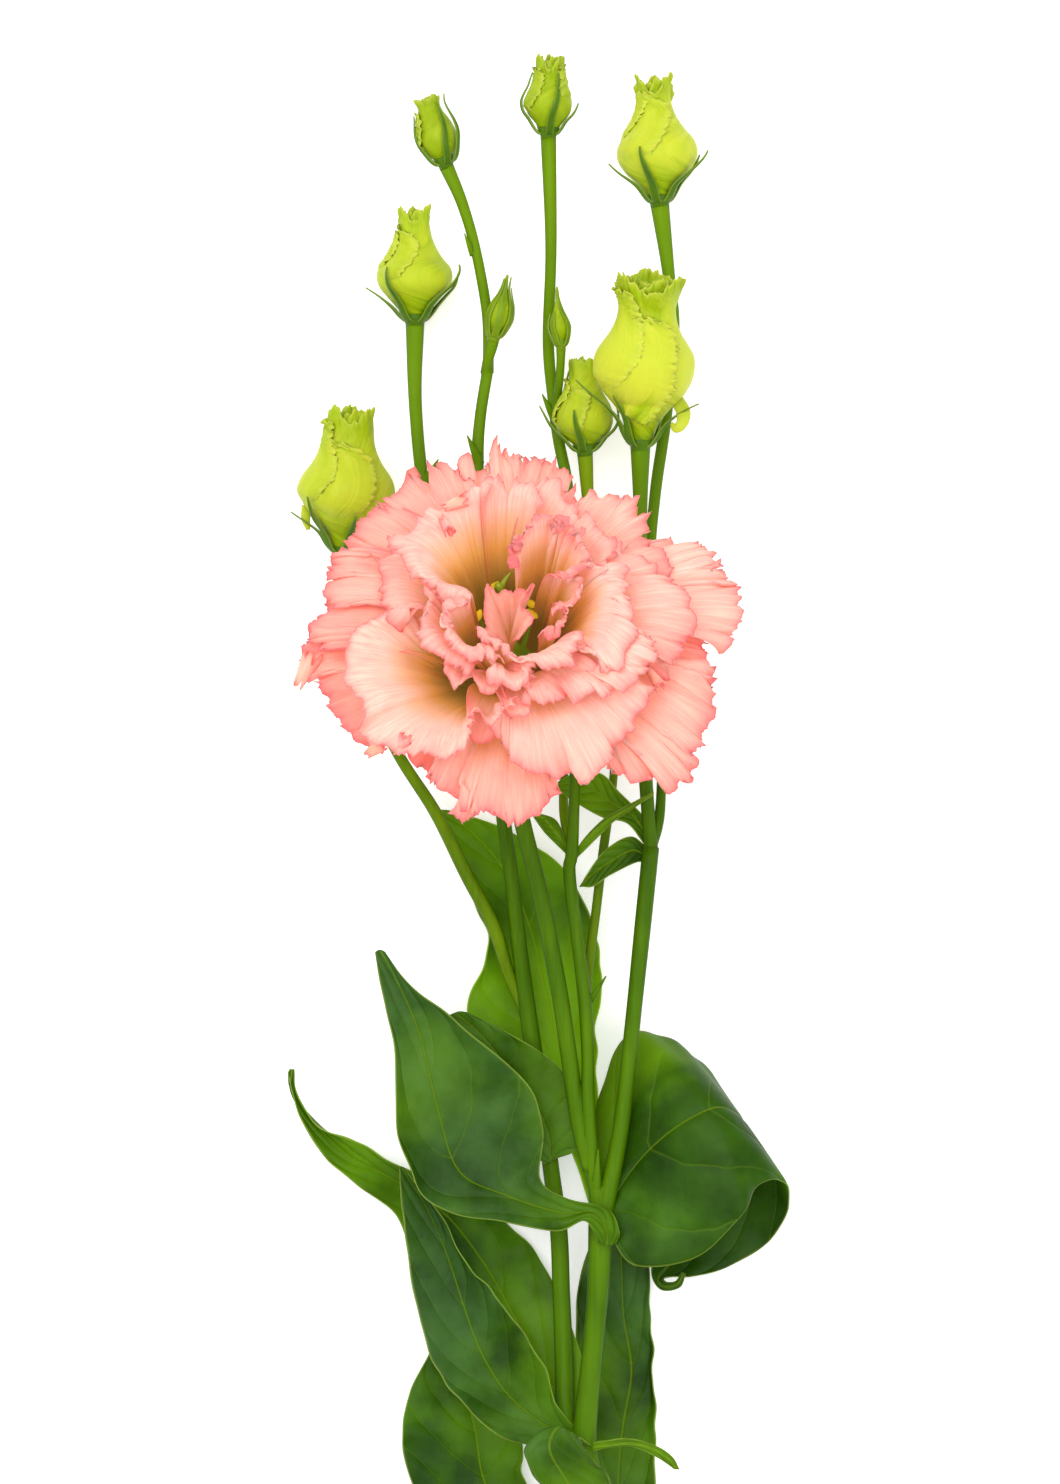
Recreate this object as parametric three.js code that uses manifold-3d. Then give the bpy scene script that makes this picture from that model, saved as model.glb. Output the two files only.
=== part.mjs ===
// A cut spray of double lisianthus (Eustoma grandiflorum), laid on its back on a flat surface.
//
// One branching stem carries a ruffled salmon flower, seven opening buds, two closed buds and broad
// clasping leaves.  Millimetres.  +Y runs from the cut end to the highest bud, +X to the right and +Z
// up from the surface, so the flower faces up.  z = 0 is the surface.
//
// The growth tables below are measured about a point on the spray's middle line, and the whole group
// is shifted so that the part's origin is the middle of its footprint.

import * as THREE from "three";
import { mergeVertices } from "three/addons/utils/BufferGeometryUtils.js";
import Module from "manifold-3d";

const wasm = await Module();
wasm.setup();

// ---------------------------------------------------------------- driving dimensions

const FOOTPRINT_MIDDLE = [1.5, -35]; // the footprint's middle in the growth tables' frame
const LEAF_THICK = 0.8;
const SMALL_LEAF_THICK = 0.7;
const PETAL_THICK = 0.7;
const SEAT_GAP = 0.3; // between a leaf, calyx or flower and what carries it
const STEM_SIDES = 7;
const STEM_STEP = 15; // length of stem between two rings
const SLIVER = 0.08; // detail below this is dropped where pieces are joined

// The flower: where its base sits, and how far its face is tipped up the spray.
const FLOWER_BASE = [-3.5, 14, 29];
const FLOWER_TIP = THREE.MathUtils.degToRad(22);

const GREEN = { colour: 0x3f7d22, roughness: 0.5 };
const LEAF_GREEN = { colour: 0x2f6b24, roughness: 0.42 };
const BUD_GREEN = { colour: 0xc3d532, roughness: 0.55 };
const SALMON = { colour: 0xf4a58f, roughness: 0.6 };
const POLLEN = { colour: 0xd8c63a, roughness: 0.7 };
const STIGMA = { colour: 0x9db833, roughness: 0.5 };

// Each branch: [x, y, z, radius] from where it leaves the stem to where it ends.
const BRANCHES = {
  main: [
    [15.5, -201, 10, 2.6],
    [14, -170.5, 11, 2.6],
    [12, -144, 12, 2.4],
    [10.5, -132.5, 12, 2.3],
    [12, -115.5, 13, 2],
    [13, -104, 13.5, 2.1],
    [13.5, -92, 14, 2.4],
  ],
  left: [
    [10, -137, 11.5, 1.7],
    [7, -130, 10, 1.8],
    [6.5, -117.5, 8.5, 1.8],
    [6, -106, 8.5, 1.7],
    [5.5, -93.5, 8.5, 1.7],
    [4, -81.5, 8.5, 1.6],
    [2.5, -70, 8.5, 1.7],
    [0.5, -58, 8.5, 1.7],
    [-2, -39.5, 10.5, 1.5],
    [-3.5, -26, 12, 1.4],
    [-5, -15, 13, 1.4],
    [-6.5, -2.5, 12.5, 1.3],
    [-8, 19.5, 12, 1.2],
    [-9.5, 38.5, 11, 1.2],
    [-10, 53.5, 10.5, 1.2],
    [-9.5, 62, 10, 1.1],
    [-8, 71.5, 10, 1.1],
  ],
  to_bud_top_left: [
    [-8, 70.5, 10, 1.1],
    [-8, 77.5, 10, 1],
    [-8.5, 84, 10, 1],
    [-10.5, 94.5, 10, 1],
    [-13, 103, 10, 1.1],
    [-16, 110, 10, 1.4],
  ],
  to_closed_bud_left: [
    [-8.5, 70.5, 10, 1],
    [-8, 73, 12.2, 1],
    [-7.4, 75, 13.2, 1.1],
    [-7, 76.8, 13.5, 1.2],
  ],
  to_bud_left: [
    [-6, -3.5, 12.5, 1.2],
    [-11.5, 15.5, 10, 1.2],
    [-17, 34.5, 8, 1.2],
    [-19.5, 44, 7.5, 1.2],
    [-21, 53.5, 7.5, 1.2],
    [-22, 66.5, 7, 1.3],
    [-22, 80, 6.8, 1.8],
  ],
  to_bud_low_left: [
    [1, -62, 8.5, 1.2],
    [-1, -52, 8.5, 1.1],
    [-4, -44.5, 9.5, 1.2],
    [-7, -35, 11, 1.3],
    [-12, -25.5, 12, 1.3],
    [-18, -13.5, 13, 1.2],
    [-25, -2.5, 14, 1.1],
    [-31, 10, 14, 1.2],
    [-34, 23, 14, 1.3],
    [-35.5, 35.5, 14, 1.7],
  ],
  to_flower: [
    [11.5, -81.5, 15, 1.5],
    [9.5, -73.5, 15.5, 1.6],
    [8, -64, 16.5, 1.6],
    [6, -50, 18, 1.6],
    [3.5, -36.5, 19, 1.6],
    [1.5, -27, 19.5, 1.6],
    [-1.5, -15, 20, 1.6],
    [-3.5, -4.5, 17.5, 1.6],
    [-4, 3.5, 17.5, 1.7],
    [-4, 8.5, 18.8, 1.9],
    [-3.7, 11.2, 21.2, 2.1],
    [-3.5, 12.1, 24.3, 2.4],
  ],
  to_bud_top_middle: [
    [13.5, -92, 14, 1.8],
    [12.5, -86, 15, 1.4],
    [11.5, -75.5, 16, 1.3],
    [11, -67, 17, 1.3],
    [11, -60.5, 17, 1.2],
    [10.5, -50, 17, 1.3],
    [9, -37.5, 17, 1.2],
    [7.5, -25, 17.5, 1.2],
    [8, -20.5, 18.5, 1.2],
    [8.5, -6.5, 19, 1],
    [8.5, 8, 17, 1],
    [8, 27, 13, 1],
    [7.5, 42, 10, 1.1],
    [7, 50, 8.5, 1.1],
    [5.5, 57.5, 7.2, 1.1],
    [4.5, 65, 7, 1.1],
    [3.5, 76.5, 9, 1.1],
    [4, 94.5, 12, 1.1],
    [3.5, 115.5, 12, 1.5],
  ],
  to_closed_bud_right: [
    [4.8, 62, 7, 0.8],
    [5.2, 66, 9.5, 0.8],
    [5.6, 69, 12.8, 0.8],
    [5.85, 72.5, 14.7, 0.8],
    [5.9, 75, 14.9, 0.9],
  ],
  side_shoot: [
    [8, -21.5, 17.5, 0.8],
    [6.5, -14, 15, 0.9],
    [6.5, -6.5, 13, 0.8],
    [7, 1.5, 12.5, 0.5],
  ],
  to_bud_small_front: [
    [11, -51.5, 16, 0.9],
    [11, -44.5, 14, 0.9],
    [12.5, -33, 12, 0.9],
    [14, -20.5, 12, 0.9],
    [16, -5.5, 11.5, 0.8],
    [15.5, 8, 11.5, 0.8],
    [14, 27, 11.5, 0.9],
    [11.5, 42, 11, 1],
    [10.5, 55, 10.8, 1.5],
  ],
  right: [
    [13.5, -91, 14, 2],
    [15.5, -83, 15, 1.7],
    [17.5, -72, 16, 1.55],
    [19, -58.5, 17, 1.5],
    [20, -49, 17.5, 1.5],
    [21.5, -34.5, 18, 1.6],
    [23, -20, 18, 1.6],
  ],
  to_bud_large: [
    [23, -20.5, 18, 1.4],
    [22.5, -14, 18.5, 1.3],
    [22, -7, 18.5, 1.3],
    [21.5, 4, 17, 1.2],
    [21.5, 19.5, 16, 1.2],
    [21, 34.5, 16, 1.3],
    [21, 46, 16.3, 1.4],
    [21, 56, 17.2, 1.9],
  ],
  to_bud_top_right: [
    [23, -20.5, 17.5, 1],
    [24.5, -15, 17, 1],
    [25, -8, 16, 0.9],
    [25, 2.5, 13.5, 0.9],
    [24, 19.5, 10, 1],
    [23, 34.5, 8.5, 1],
    [24, 48, 8, 1.1],
    [26, 62, 8, 1.1],
    [27.5, 78.5, 7.8, 1.1],
    [26.5, 89.5, 7.6, 1.2],
    [25, 101.5, 7.5, 1.8],
  ],
};

// Each leaf: stations from its foot to its tip, each [left edge, midrib, right edge].
const LEAVES = {
  leaf_left_big: [
    [[16.5, -96, 17.6], [15.5, -92.5, 17.3], [14, -88, 17.2]],
    [[5.5, -93, 20], [5.5, -89.5, 19], [6.5, -86.5, 19]],
    [[-5.5, -91, 22], [-5, -86, 20], [2, -83, 19]],
    [[-19, -87.5, 22], [-13.5, -81.5, 19], [2.5, -73.5, 20]],
    [[-24.5, -75.5, 21], [-17.5, -70, 18], [-1, -64.5, 21]],
    [[-26, -57.5, 20], [-21, -55.5, 18], [-14, -53, 21]],
    [[-28.5, -46, 19], [-25, -46, 18.5], [-23, -46, 19]],
    [[-29.5, -40, 18], [-28.5, -39.5, 18], [-27.5, -40, 18]],
  ],
  leaf_left_inner: [
    [[3, -80.5, 10.9], [4, -80, 10.9], [5, -79.5, 10.9]],
    [[-2, -77.5, 12], [3.5, -74.5, 12.2], [9, -77.5, 12.5]],
    [[-7.5, -72, 12.5], [0, -67, 12.5], [10, -71, 13]],
    [[-12.5, -64, 13], [-5, -61, 13], [6, -62.5, 13.5]],
    [[-15, -57.5, 13.5], [-9.5, -55.5, 13.5], [-3, -56, 14]],
    [[-16, -52.5, 14], [-14, -51.5, 14], [-12, -51.5, 14]],
  ],
  leaf_upper_back: [
    [[12, -90, 13], [13, -90.5, 13], [14, -90, 13]],
    [[5.5, -73.5, 7], [10, -73.5, 5], [13.5, -73.5, 7]],
    [[-7.5, -60.5, 6], [5.5, -58.5, 3.5], [12.5, -60.5, 7]],
    [[-12, -51.5, 6], [3, -48, 3.5], [13.5, -47, 8]],
    [[-8, -38.5, 8], [0, -35.5, 4], [12.5, -36.5, 8]],
    [[-9.5, -26, 8], [-5, -24.5, 5], [6, -24.5, 7]],
    [[-14, -17.5, 7], [-11.5, -17, 6], [-5, -17, 7]],
    [[-17.5, -13, 7], [-17, -13, 7], [-15.5, -13, 7]],
  ],
  leaf_right_curled: [
    [[13.5, -88, 13], [14, -89.5, 13.5], [15, -91.5, 14]],
    [[12.5, -76.5, 9], [19.5, -81.5, 14], [21, -97, 17]],
    [[14.5, -65.5, 7], [25, -75.5, 17], [32, -96, 20]],
    [[18, -58, 6], [31.5, -71, 19], [39.5, -90.5, 21]],
    [[24, -55.5, 6], [36.5, -69.5, 18], [44, -84, 19]],
    [[30.5, -59.5, 5], [40.5, -72, 13], [48.5, -84, 14]],
    [[35, -65, 2.5], [41, -75.5, 6], [49, -88, 7]],
    [[33, -73.5, 1.5], [37.5, -83, 2], [45.5, -93.5, 3]],
    [[28.5, -85, 1.5], [32.5, -92, 1.5], [39, -98, 3]],
    [[25, -95.5, 2], [27.5, -98.5, 2.5], [30.5, -100.5, 4]],
    [[24, -102, 4], [25.5, -103.5, 5], [27, -103.5, 6]],
    [[28, -102.5, 8], [28.5, -102, 8], [29.5, -101.5, 8]],
  ],
  leaf_left_far: [
    [[8.5, -134, 10], [9.5, -132.5, 10], [10.5, -131, 10]],
    [[-4, -125, 6], [3.5, -122, 6.5], [10, -118.5, 7]],
    [[-14, -113.5, 4.5], [-3, -110, 4], [5.5, -106, 5]],
    [[-22, -101.5, 1.5], [-9.5, -99, 0], [0, -96.5, 2]],
    [[-25.5, -91, 1.5], [-17, -90, 0], [-9.5, -88.5, 3]],
    [[-33, -85, 4], [-27.5, -83, 3], [-25, -81, 6]],
    [[-39.5, -79, 7], [-35, -79, 5], [-34, -76, 8]],
    [[-44, -71.5, 9], [-42, -72, 7.5], [-40.5, -73.5, 9]],
    [[-46, -64, 9], [-45.5, -67, 8.5], [-44.5, -67, 9]],
    [[-46, -62.5, 9], [-45.5, -62.5, 9], [-45, -62.5, 9]],
  ],
  leaf_left_long: [
    [[7, -135, 11.5], [8.5, -133.5, 11.5], [9.5, -132, 11.5]],
    [[-5.5, -132.5, 14], [1, -129, 12], [5, -126, 14]],
    [[-14, -124.5, 15], [-5, -123.5, 12], [3, -119.5, 15]],
    [[-18.5, -118, 14], [-9.5, -116, 11.5], [-2, -111.5, 14.5]],
    [[-21.5, -108, 13.5], [-12.5, -108, 11], [-7, -105, 14]],
    [[-23.5, -96.5, 12.5], [-16, -97.5, 10.5], [-12, -99.5, 13]],
    [[-24.5, -88, 11.5], [-20, -88.5, 10.5], [-17, -90.5, 12]],
    [[-25, -81.5, 11], [-24.5, -81, 11], [-24, -81.5, 11]],
  ],
  leaf_bottom_left: [
    [[11.5, -173, 10.5], [12, -171, 10.5], [12.5, -168.5, 10.5]],
    [[-2, -163, 5], [5.5, -160, 4], [9.5, -155.5, 5]],
    [[-17, -151.5, 3], [-5, -149, 2], [2, -146, 4]],
    [[-23, -141, 3], [-9, -141, 1.5], [-1.5, -140, 4]],
    [[-24.5, -132.5, 3], [-10.5, -132.5, 1.5], [-1.5, -132.5, 3]],
    [[-23, -124.5, 1.8], [-12.5, -125, 1.2], [-5.5, -123, 1.8]],
    [[-19.5, -117.5, 1.5], [-16, -118, 1.2], [-12.5, -117, 1.5]],
    [[-18, -113, 1.5], [-17, -113, 1.5], [-16.5, -113, 1.5]],
  ],
  leaf_bottom_right: [
    [[15.5, -169, 10.5], [16, -171, 10.5], [16.5, -173, 10.5]],
    [[12, -155.5, 5], [17, -155.5, 4], [24, -161, 5]],
    [[8.5, -141, 2], [17, -141, -1], [24, -141, 2]],
    [[8.5, -130.5, 1.5], [18, -130.5, -1.5], [24, -129, 1.5]],
    [[9, -119.5, 1.5], [19.5, -120.5, -1.5], [23.5, -118.5, 1.5]],
    [[9, -106, 2], [18, -110, 0.8], [23, -108, 2]],
    [[11.5, -96.5, 3], [17.5, -99, 2], [22.5, -99, 2.5]],
    [[15.5, -90.5, 4], [16.5, -90, 4], [18, -90.5, 4]],
  ],
  leaf_front_drooping: [
    [[8.5, -134, 14.5], [10, -134, 14.8], [11.5, -134, 14.5]],
    [[3, -130.5, 20], [5.5, -130.5, 21], [9.5, -132.5, 19]],
    [[-1, -134, 23], [3.5, -134, 24], [12.5, -137, 21]],
    [[0.5, -138.5, 23], [6.5, -139.5, 24], [15, -140, 21]],
    [[4, -144, 22], [10, -145.5, 23], [16.5, -145, 20]],
    [[9.5, -152.5, 20], [13.5, -153, 21], [17.5, -151.5, 19]],
    [[15.5, -159, 18], [16.5, -159, 18], [17, -158.5, 18]],
  ],
  leaf_bottom_thin: [
    [[12, -133.5, 14.8], [12, -134.3, 15], [12, -135.2, 14.8]],
    [[14, -133, 16], [14, -134, 16.3], [14, -134.5, 16]],
    [[19, -132.5, 17], [19, -133.5, 17.3], [19, -134, 17]],
    [[24, -134, 17], [23.5, -134.5, 17.3], [23, -135.5, 17]],
    [[27, -136, 16], [26.5, -136.5, 16.3], [25.5, -137, 16]],
    [[28.5, -138.5, 15], [28, -138.5, 15], [27.5, -138.5, 15]],
  ],
  leaf_node_upper: [
    [[21.8, -19.6, 17.6], [22.5, -19, 17.6], [23.2, -18, 17.6]],
    [[18.5, -15.5, 18], [20, -14.5, 17.5], [21.5, -14, 18]],
    [[14, -14.5, 16.7], [15.5, -11.5, 16], [16.5, -9, 16.7]],
    [[9.5, -12, 15.5], [12, -9, 15], [13.5, -6, 15.5]],
    [[7, -10.5, 15], [8, -8, 14.5], [9.5, -5.5, 15]],
    [[5, -8.5, 14.5], [5, -8, 14.5], [5.5, -7.5, 14.5]],
  ],
  leaf_node_lower: [
    [[22, -23, 16.6], [22.6, -22, 16.6], [23.2, -21, 16.6]],
    [[20, -23, 16.6], [19.4, -20.6, 16.2], [19.4, -18, 16.6]],
    [[15, -25.5, 16.5], [15, -23, 16], [15, -20, 16.5]],
    [[12, -27.5, 16], [11.5, -25.5, 15.5], [12, -23.5, 16]],
    [[9.5, -27.5, 15.5], [9.5, -27.5, 15.5], [10, -27, 15.5]],
  ],
  bract_left: [
    [[7, -21.5, 16.5], [7.5, -21, 16.5], [8, -20.5, 16.5]],
    [[5, -19.5, 17], [5.5, -18, 17.6], [6.5, -17.5, 17]],
    [[3, -17.5, 16.6], [4, -16, 17.4], [5, -15, 16.6]],
    [[1.5, -15.5, 16.4], [2.5, -14.5, 16.8], [3, -14, 16.4]],
    [[0.5, -14, 16.2], [0.5, -14, 16.2], [1, -13.5, 16.2]],
  ],
  bract_right: [
    [[8, -23, 16.5], [8.5, -22.5, 16.5], [9, -22, 16.5]],
    [[10, -21, 17.5], [9.5, -20, 17.8], [10, -19, 17.5]],
    [[13.5, -17.5, 18.5], [13, -16.5, 18.9], [12.5, -16, 18.5]],
    [[16, -15, 19.6], [15.5, -14.5, 20], [15, -14, 19.6]],
    [[19, -13, 20.2], [19, -12.5, 20.4], [18.5, -12, 20.2]],
    [[23.5, -10, 21], [23.5, -9.5, 21.2], [23.5, -9.5, 21]],
  ],
};

// Leaves fine enough to need more columns across, and the small ones that need fewer.
const LEAF_COLUMNS = { leaf_left_big: 6, leaf_right_curled: 6 };
const SMALL_LEAVES = [
  "leaf_bottom_thin",
  "leaf_node_upper",
  "leaf_node_lower",
  "bract_left",
  "bract_right",
];
const BLADE_COLUMNS = 4;
const SMALL_COLUMNS = 2;
const ROWS_PER_STATION = 1.5;

// Scale leaves under the flower stalks: [foot, tip, half width at the foot], fused to the stem.
const SCALES = [
  [[-20.5, 49, 7.5], [-17.5, 54, 9.5], 0.9],
  [[-9.5, 53, 11], [-12, 58.5, 12.5], 1.0],
  [[-11, 93, 10.5], [-12.5, 97, 12.5], 0.6],
  [[4.8, 61.5, 7.5], [2.3, 66.5, 9], 0.9],
  [[5.2, 58.5, 6.4], [7.4, 71, 5.4], 0.8],
  [[11, -50, 16], [14.5, -44.5, 17], 0.7],
  [[12.5, -89, 14.3], [13, -77.5, 17.5], 1.2],
];

// Buds, each on the branch named after it: the top of its furled petals, its widest radius, the radius
// of its mouth, how far up the sepals reach, how far their tips stand off and how far round they sit.
const BUDS = {
  bud_top_left: { top: [-19.5, 123.3, 10], wide: 3.7, mouth: 2.0, sepal: 0.9, flare: 1.2, turn: 0.25 },
  bud_top_middle: { top: [3.8, 130.3, 12], wide: 4.3, mouth: 2.1, sepal: 0.8, flare: 0.8, turn: 0.25 },
  bud_top_right: { top: [23.9, 126.6, 7.5], wide: 7.6, mouth: 3.5, sepal: 0.45, flare: 0.7, turn: 0.75 },
  bud_left: { top: [-22.2, 101.5, 6.9], wide: 7.1, mouth: 2.7, sepal: 0.48, flare: 0.6, turn: 0.75 },
  bud_low_left: { top: [-34, 63, 16], wide: 8.7, mouth: 4.1, sepal: 0.38, flare: 2.4, turn: 0.4 },
  bud_large: { top: [22.8, 88, 23], wide: 9.5, mouth: 5.2, sepal: 0.36, flare: 2.4, turn: 0.55 },
  bud_small_front: { top: [10.1, 73, 10.5], wide: 5.2, mouth: 2.2, sepal: 0.5, flare: 0.4, turn: 0.4 },
};
const CLOSED_BUDS = {
  closed_bud_left: { top: [-4.6, 88.8, 13.8], wide: 2.4 },
  closed_bud_right: { top: [5, 86.5, 15], wide: 1.8 },
};

// How a bud swells from its foot, as shares of its widest radius, and how it closes again, as shares
// of the way from its mouth's radius to its widest.
const BUD_HEIGHTS = [0, 0.07, 0.18, 0.37, 0.5, 0.66, 0.82, 0.93, 1];
const BUD_WIDEST = 3; // which of those heights is the widest
const BUD_SWELL = [0.3, 0.5, 0.76, 1, 0.86, 0.42, 0.1, 0, 0.12];
const BUD_FOOT = 1.6; // height of the green cup below the furled petals
const BUD_SIDES = 15;
const FURLED_PETALS = 3;
const FURL_TWIST = 0.55; // turns that a petal's edge makes up the bud, as a share of one petal
const FURL_STEP = 0.13; // how far the free edge stands proud of the petal under it
const SEPALS = 5;

// Petals: bearing in degrees about the flower's axis, reach from the axis, height of the bell's
// shoulder and of the edge, half width, radius at the foot, and the wave of the edge.
const PETALS = [
  // the open outer ring
  { bearing: 7, reach: 43, shoulder: 32, edge: 25, width: 14, foot: 5.6, wave: 1.9 },
  { bearing: 36, reach: 33, shoulder: 34, edge: 28, width: 14, foot: 5.4, wave: 1.6 },
  { bearing: 72, reach: 35, shoulder: 30, edge: 22, width: 13, foot: 5.6, wave: 1.7 },
  { bearing: 96, reach: 35.5, shoulder: 28, edge: 19, width: 12, foot: 5.8, wave: 1.8 },
  { bearing: 121, reach: 35, shoulder: 30, edge: 23, width: 15, foot: 5.4, wave: 1.7 },
  { bearing: 146, reach: 36, shoulder: 31, edge: 25, width: 14, foot: 5.6, wave: 1.7 },
  { bearing: 185, reach: 39, shoulder: 31, edge: 25, width: 13, foot: 5.8, wave: 1.8 },
  { bearing: 205, reach: 41, shoulder: 28, edge: 20, width: 16, foot: 5.4, wave: 1.7 },
  { bearing: 264, reach: 42, shoulder: 31, edge: 25, width: 17, foot: 5.6, wave: 1.8 },
  { bearing: 322, reach: 46, shoulder: 31, edge: 26, width: 17, foot: 5.6, wave: 1.8 },
  { bearing: 352, reach: 38, shoulder: 29, edge: 23, width: 12, foot: 5.4, wave: 1.7 },
  // the broad middle ring
  { bearing: 165, reach: 35, shoulder: 37, edge: 31, width: 14, foot: 4.6, wave: 1.7 },
  { bearing: 222, reach: 37, shoulder: 42, edge: 37, width: 21, foot: 4.8, wave: 1.6 },
  { bearing: 292, reach: 41, shoulder: 41, edge: 35, width: 21, foot: 4.6, wave: 1.8 },
  { bearing: 355, reach: 35, shoulder: 38, edge: 33, width: 16, foot: 4.6, wave: 1.7 },
  { bearing: 315, reach: 29, shoulder: 40, edge: 37, width: 13, foot: 4.6, wave: 1.6 },
  // the inner cups
  { bearing: 145, reach: 25, shoulder: 44, edge: 41, width: 17, foot: 4.0, wave: 1.2 },
  { bearing: 95, reach: 23, shoulder: 41, edge: 39, width: 15, foot: 4.0, wave: 1.3 },
  { bearing: 52, reach: 23, shoulder: 38, edge: 36, width: 12, foot: 4.2, wave: 1.4 },
  { bearing: 345, reach: 26, shoulder: 44, edge: 40, width: 15, foot: 4.0, wave: 1.4 },
  { bearing: 235, reach: 22, shoulder: 42, edge: 39, width: 14, foot: 4.2, wave: 1.5 },
  { bearing: 284, reach: 24, shoulder: 40, edge: 37, width: 9, foot: 4.2, wave: 1.5 },
  { bearing: 45, reach: 15, shoulder: 42, edge: 44, width: 12, foot: 3.6, wave: 1.2 },
  { bearing: 262, reach: 18, shoulder: 47, edge: 43, width: 17, foot: 3.8, wave: 1.3 },
  // the small one that stands in the throat
  { bearing: 270, reach: -2, shoulder: 24, edge: 34, width: 6.5, foot: 3.3, wave: 0.5 },
];

// Columns across a petal, and its rows of points from foot to edge.
const LARGE_PETAL_GRID = [8, [0, 0.34, 0.64, 0.86, 1]];
const SMALL_PETAL_GRID = [6, [0, 0.4, 0.75, 1]];
const EDGE_TOOTH = 0.015; // how far the edge runs in and out, as a share of the petal's length
const PETAL_LAP = 1.5; // how far one side of a petal is lifted over its neighbour

const DISC_FOOT = -1.2; // the disc that the petals stand on, along the flower's axis
const DISC_TOP = 1.4;
const STAMEN_TURNS = [0.1, 0.3, 0.48, 0.62, 0.92];

// ---------------------------------------------------------------- shared helpers

const mix = (a, b, t) => a + (b - a) * t;
const smooth = (t) => {
  const c = Math.min(1, Math.max(0, t));
  return c * c * (3 - 2 * c);
};
const vec = (p) => new THREE.Vector3(p[0], p[1], p[2]);

// The smooth curve through rows that start with x, y, z.
const curveThrough = (rows) => new THREE.CatmullRomCurve3(rows.map(vec), false, "catmullrom");

// An indexed geometry from corner points and triangles.
function geometryFrom(points, triangles) {
  const flat = new Float32Array(points.length * 3);
  points.forEach((p, i) => flat.set([p.x, p.y, p.z], i * 3));
  const geometry = new THREE.BufferGeometry();
  geometry.setAttribute("position", new THREE.BufferAttribute(flat, 3));
  geometry.setIndex(triangles);
  return geometry;
}

function solidFrom(geometry) {
  const vertProperties = new Float32Array(geometry.attributes.position.array);
  const triVerts = new Uint32Array(geometry.index.array);
  return new wasm.Manifold(new wasm.Mesh({ numProp: 3, vertProperties, triVerts }));
}

function geometryOf(solid) {
  const mesh = solid.getMesh();
  const geometry = new THREE.BufferGeometry();
  geometry.setAttribute("position", new THREE.BufferAttribute(mesh.vertProperties.slice(), 3));
  geometry.setIndex(new THREE.BufferAttribute(mesh.triVerts.slice(), 1));
  return geometry;
}

// Geometries joined as one solid, without the slivers that their crossings leave.
function fuse(geometries) {
  const joined = geometries.map(solidFrom).reduce((all, one) => all.add(one));
  return joined.asOriginal().simplify(SLIVER);
}

// The largest body of a solid, without the scraps that a cut leaves beside it.
function mainBody(solid) {
  return solid.decompose().reduce((best, one) => (one.volume() > best.volume() ? one : best));
}

// A closed tube through rings, each a loop of points with the same count.
function closeRings(rings, startPoint, endPoint) {
  const count = rings[0].length;
  const points = rings.flat();
  const triangles = [];
  for (let r = 0; r + 1 < rings.length; r++) {
    for (let k = 0; k < count; k++) {
      const a = r * count + k;
      const b = r * count + ((k + 1) % count);
      triangles.push(a, b, b + count, a, b + count, a + count);
    }
  }
  const first = points.push(startPoint) - 1;
  const last = points.push(endPoint) - 1;
  const top = (rings.length - 1) * count;
  for (let k = 0; k < count; k++) {
    const next = (k + 1) % count;
    triangles.push(first, next, k, last, top + k, top + next);
  }
  return geometryFrom(points, triangles);
}

// A closed lathe about +Z with shared corners, from a profile that starts and ends on the axis.
function turned(profile, sides) {
  const points = profile.map(([r, z]) => new THREE.Vector2(r, z));
  const geometry = new THREE.LatheGeometry(points, sides).rotateX(Math.PI / 2);
  geometry.deleteAttribute("normal");
  geometry.deleteAttribute("uv");
  return mergeVertices(geometry, 1e-4);
}

// A round stem of changing radius along rows of [x, y, z, radius].
function stalk(rows, { sides = STEM_SIDES, step = STEM_STEP, extra = 0 } = {}) {
  const curve = curveThrough(rows);
  const steps = Math.max(3, Math.round(curve.getLength() / step));
  const { normals, binormals } = curve.computeFrenetFrames(steps);
  const rings = normals.map((normal, i) => {
    const t = curve.getUtoTmapping(i / steps) * (rows.length - 1);
    const k = Math.min(rows.length - 2, Math.floor(t));
    const radius = mix(rows[k][3], rows[k + 1][3], t - k) + extra;
    const centre = curve.getPointAt(i / steps);
    return Array.from({ length: sides }, (_, n) => {
      const angle = ((n + 0.5) / sides) * 2 * Math.PI;
      return centre
        .clone()
        .addScaledVector(normal, radius * Math.cos(angle))
        .addScaledVector(binormals[i], radius * Math.sin(angle));
    });
  });
  return closeRings(rings, vec(rows[0]), vec(rows[rows.length - 1]));
}

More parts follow.
